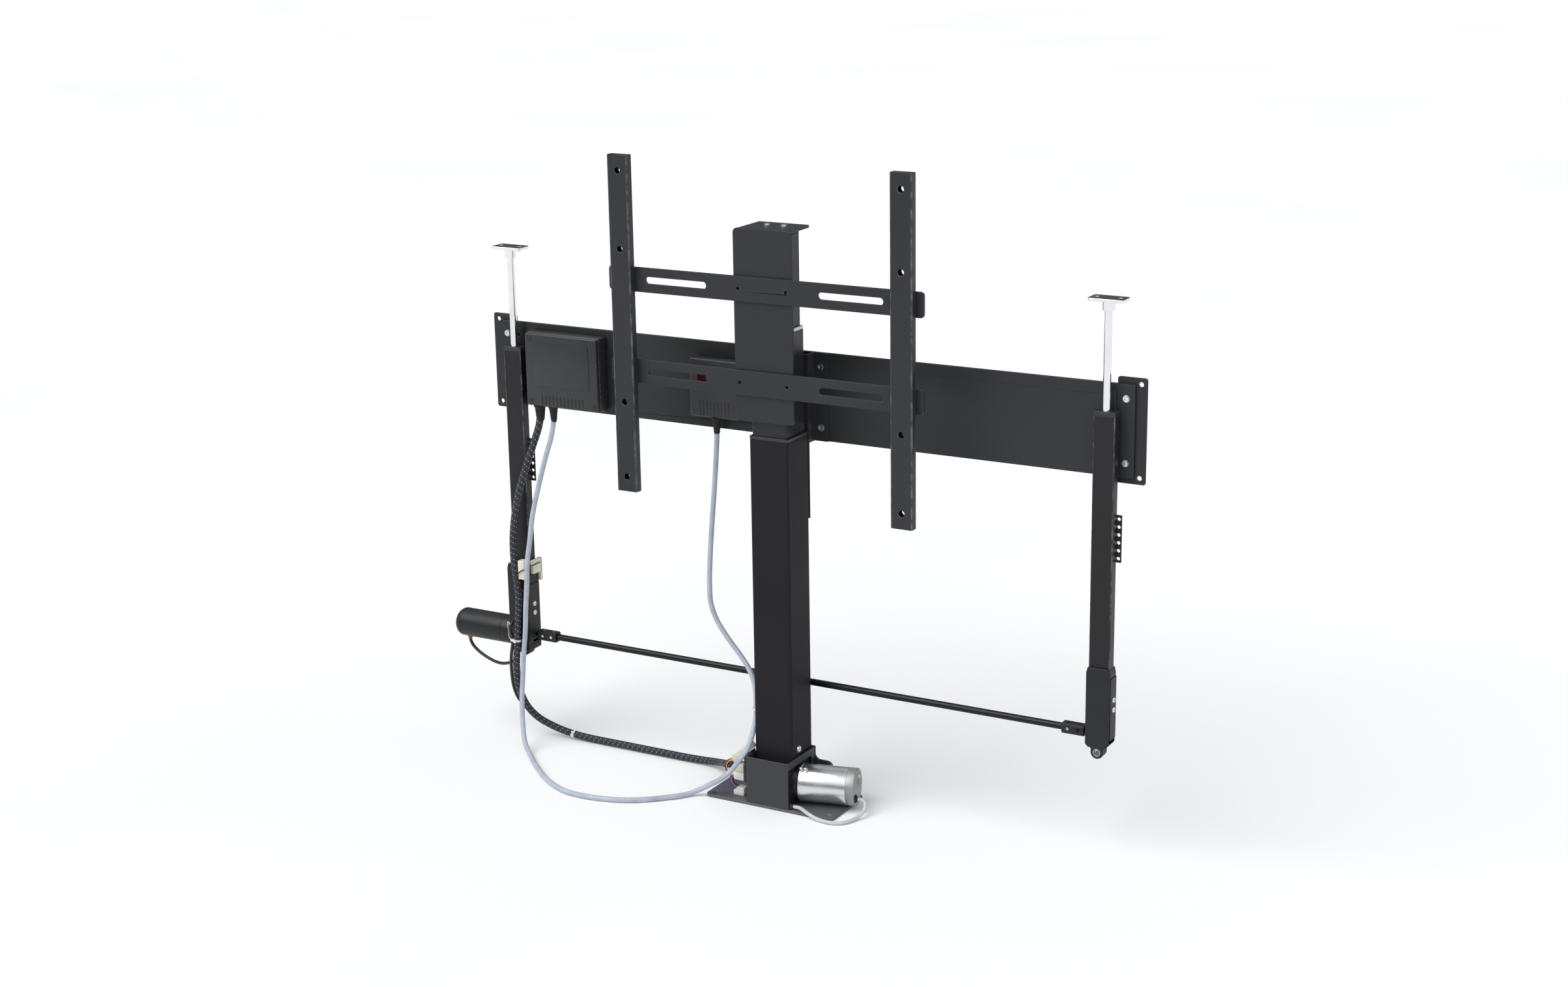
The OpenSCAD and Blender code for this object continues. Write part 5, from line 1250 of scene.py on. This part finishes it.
@dataclass
class ControlGear(Assembly):
    """Control box, receiver, connectors and the wires between them."""

    rows: tuple[tuple, ...] = (("connector_clip", BLACK_PLASTIC, 0.5),)
    box: tuple[Span, Span, Span] = ((-408.0, -290.0), (22.0, 48.0), (488.0, 590.0))
    hub: tuple[Span, Span, Span] = ((-150.0, -76.0), (28.0, 48.0), (500.0, 578.0))
    foot_z: Span = (516.0, 564.0)
    wire_radius: float = 0.8

    def build(self) -> None:
        """Makes the electric pieces."""
        for step in (self.control_box, self.receiver, self.connectors, self.wires, super().build):
            step()

    def control_box(self) -> None:
        """Moulds the control box: tray, lid with a raised field, feet, cooling ribs, and darker matt bars on its sides
        as painted shade for slots.
        """
        (x0, x1), (y0, y1), (z0, z1) = self.box
        tray = Sketch().block((x0, x1), (y0 + 6.3, y1 - 1), (z0, z1), 2.4, 3)
        tray.block((x0 + 8, x1 - 8), (y1 - 1.4, y1), self.foot_z, 0.3, 1)
        tray.publish("control_box_tray", BLACK_PLASTIC, "control_box")
        lid = Sketch().block((x0 + 1, x1 - 1), (y0 + 0.9, y0 + 6), (z0 + 1, z1 - 1), 2.2, 3)
        lid.block((x0 + 14, x1 - 14), (y0 + 0.05, y0 + 2), (z0 + 30, z1 - 12), 0.7)
        boss = [(0.0, 0.0), (0.0, 3.4), (0.75, 3.1), (0.8, 2.0), (0.3, 1.8), (0.3, 0.0)]
        for x in (x0 + 8, x1 - 8):
            for z in (z0 + 8, z1 - 8):
                lid.lathe(boss, (x, y0 + 0.95, z), (0, -1, 0), 24)
        lid.publish("control_box_lid", BLACK_PLASTIC, "control_box")
        front = ((x0 + 26, y0 + 1.0, z0 + 10.0),)
        RibRow("control_box_ribs", front, 12, (6.0, 0, 0), (2.4, 1.4, 13.0)).build(BLACK_PLASTIC)
        # The side slots are not cut: darker matt bars stand in for them as painted shade in the openings.
        sides = ((x1 - 0.1, y0 + 12, z0 + 18), (x0 + 0.1, y0 + 12, z0 + 18))
        RibRow("control_box_slots", sides, 9, (0, 0, 8.0), (0.7, 11.0, 2.6)).build(RUBBER)

    def receiver(self) -> None:
        """Moulds the receiver box with its smoked window."""
        (x0, x1), (y0, y1), (z0, z1) = self.hub
        case = Sketch().block((x0, x1), (y0 + 0.5, y0 + 8.7), (z0, z1), 2.6, 3)
        case.block((x0 + 0.6, x1 - 0.6), (y0 + 9.1, y1 - 1), (z0 + 0.6, z1 - 0.6), 1.8, 3)
        case.block((x0 + 8, x1 - 8), (y1 - 1.4, y1), self.foot_z, 0.3, 1)
        case.block((x0 + 3, x1 - 3), (y0 + 8.4, y0 + 9.4), (z0 + 3, z1 - 3), 0.2, 1)
        case.publish("receiver_case", BLACK_PLASTIC, "receiver_box")
        window = Sketch().block((x0 + 12, x1 - 12), (y0 + 0.05, y0 + 2), (z0 + 44, z1 - 12), 0.6, 3)
        window.publish("receiver_window", SMOKED_PLASTIC, "receiver_box")
        front = ((x0 + 15, y0 + 0.75, z0 + 12.0),)
        RibRow("receiver_ribs", front, 9, (5.5, 0, 0), (2.2, 1.3, 20.0)).build(BLACK_PLASTIC)

    def connectors(self) -> None:
        """Moulds the plug housings beside the base and at the motor side housing, and bends the thin wire there."""
        pale, white = Sketch(), Sketch()
        white.block((-59.9, -44), (-31.9, -18.1), (4.05, 11.2), 0.8)
        white.block((-55.5, -44.2), (-31.4, -19), (10.9, 14.9), 0.7)
        for sketch, z in ((white, 26.0), (pale, 37.5)):
            sketch.block((-58.2, -44), (-32, -18), (z + 0.05, z + 11), 0.7)
            sketch.block((-60, -57), (-31, -19), (z + 1.0, z + 10), 0.5)
            sketch.block((-56, -47), (-31.9, -30.2), (z + 3.4, z + 7.6), 0.4)
            for y in (-29.5, -25.0, -20.5):
                sketch.block((-57, -44.2), (y - 0.8, y + 0.8), (z + 9.6, z + 10.95), 0.3, 1)
        lean = Matrix.Translation((-43.5, -25, 61.5)) @ Matrix.Rotation(math.radians(-41), 4, "Y")
        for x, y, z, soft, steps in (
            ((-18.9, 2.0), 6.9, (0.1, 9.4), 0.8, 2), ((1.2, 18.9), 6.2, (0.8, 9.9), 0.7, 2),
            ((-8.0, 8.0), 2.2, (8.8, 9.95), 0.4, 1), ((-16.3, -14.7), 6.95, (1.2, 9.9), 0.35, 1),
            ((-13.3, -11.7), 6.95, (1.2, 9.9), 0.35, 1),
        ):
            pale.block(x, (-y, y), z, soft, steps, lean)
        pale.block((-417.6, -412.1), (28.1, 47.9), (244.4, 263.9), 0.8, 3)
        pale.block((-417.6, -412.1), (45.4, 49.9), (231.1, 263.9), 0.8, 3)
        pale.block((-413.6, -411.9), (32, 43), (247.5, 254), 0.4)
        pale.block((-421.2, -410.4), (3.6, 14.6), (243.1, 269.9), 0.9, 3)
        pale.block((-419.5, -412), (3.5, 5), (247, 265), 0.5)
        pale.publish("cream_connectors", CREAM, "connectors")
        white.publish("white_connectors", WHITE_PLUG, "connectors")
        thin = smooth_line((
            (-411.2, 42.4, 258.3), (-411.2, 34, 258.4), (-411.4, 28, 258), (-412.6, 26.6, 257.6), (-414.6, 25.4, 257),
            (-412.6, 19.5, 257.6), (-409.3, 13, 258.4), (-409.2, 5.2, 258.6), (-410.2, 2.6, 258.2),
            (-412.6, 2.2, 257.4), (-416.3, 1.9, 255.1), (-421.5, 1.6, 249.4), (-424.3, 1.4, 243.4),
            (-424.3, 1.6, 238.2), (-421.3, 2.2, 233.4), (-418.3, 6, 227.6), (-417.8, 10.5, 222),
            (-417.5, 15.2, 218.5)), 1.0)
        tube("thin_wire", thin, self.wire_radius, 10, BLACK_JACKET)

    def wires(self) -> None:
        """Bends the coloured wires between the connectors, each half a turn."""
        steps = 28
        turns = [math.pi * i / steps for i in range(steps + 1)]
        loops = ((-31.2, 42, 10.2), (-31.2, 42, 12.2), (-18.6, 42, 9.6), (-30.6, 20.5, 7.6), (-28.4, 20.5, 8.6),
                 (-22, 20.5, 8.6), (-19.6, 20.5, 7.6))
        for finish, (y, z, r) in zip(WIRES, loops):
            line = [Vector((-60 - r * math.sin(a), y, z + r * math.cos(a))) for a in turns]
            tube(finish.name + "_loop", line, self.wire_radius, 10, finish, "connector_wires")


def inner_works(shells: ShellMaker) -> None:
    """Finishes the pieces that work inside the tubes and housings.

    Args:
        shells: The maker that holds the frame's nodes.
    """
    for finish, nodes in (
        (STEEL, "gear_bearings spindle_bearings lift_screw stage_screw worm_shaft left_spindle right_spindle"),
        (BRONZE, "worm_wheel lift_nut stage_nut stage_bearing"),
        (GREY_CAST, "middle_foot inner_foot"),
        (NYLON, "inner_glide"),
        (SHAFT_STEEL, "cross_shaft"),
    ):
        for node in nodes.split():
            shells.dress(node, finish)


def frame_screws(motor: LiftMotor) -> None:
    """Seats the screws of the fixed frame and of the bracket.

    Args:
        motor: The lift motor, whose cap carries two of them.
    """
    left, right, front, back, up = (-1, 0, 0), (1, 0, 0), (0, -1, 0), (0, 1, 0), (0, 0, 1)
    fixed = ScrewField("frame_screw_heads", Body.FRAME, SCREW_ZINC, ("frame_screws",))
    moving = ScrewField("bracket_screw_heads", Body.INNER, SCREW_ZINC, ("bracket_screws",))
    for side, out, cover_y in ((-1, left, 30), (1, right, 35)):
        fixed.seat((side * 28, -10.5, 77), out)
        fixed.seat((side * 38, 38, 7), up)
        for z in (500, 580):
            fixed.seat((side * 37, 45, z), front)
            fixed.seat((side * 432, 52, z), back)
            fixed.seat((side * 452, 48, z), front)
        for x, y, heights in ((12, 31, (400, 470)), (432, 48, (199, 225))):
            for z in heights:
                fixed.seat((side * x, y, z), back)
        for z in (188, 201):
            fixed.seat((side * 432 + 17, cover_y, z), right, 0.8)
        moving.seat((side * 12, 0, 766), up)
        for z in (570, 690):
            moving.seat((side * 34, -31, z), back)
            moving.seat((side * 200, -35, z), back)
    motor.cap_bolts(fixed)
    fixed.build()
    moving.build()


def main() -> None:
    """Builds the studio, the cables and every sub-assembly in order."""
    logging.basicConfig(level=logging.INFO, format="%(message)s")
    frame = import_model()
    shells = ShellMaker(frame["nodes"])
    Studio().build()
    CableLoom().build()
    motor = LiftMotor()
    motor.build()
    for part in (BaseUnit, Column, ScreenBracket, RearRail, LidActuators, ControlGear):
        part(shells).build()
    frame_screws(motor)
    inner_works(shells)


if __name__ == "__main__":
    main()
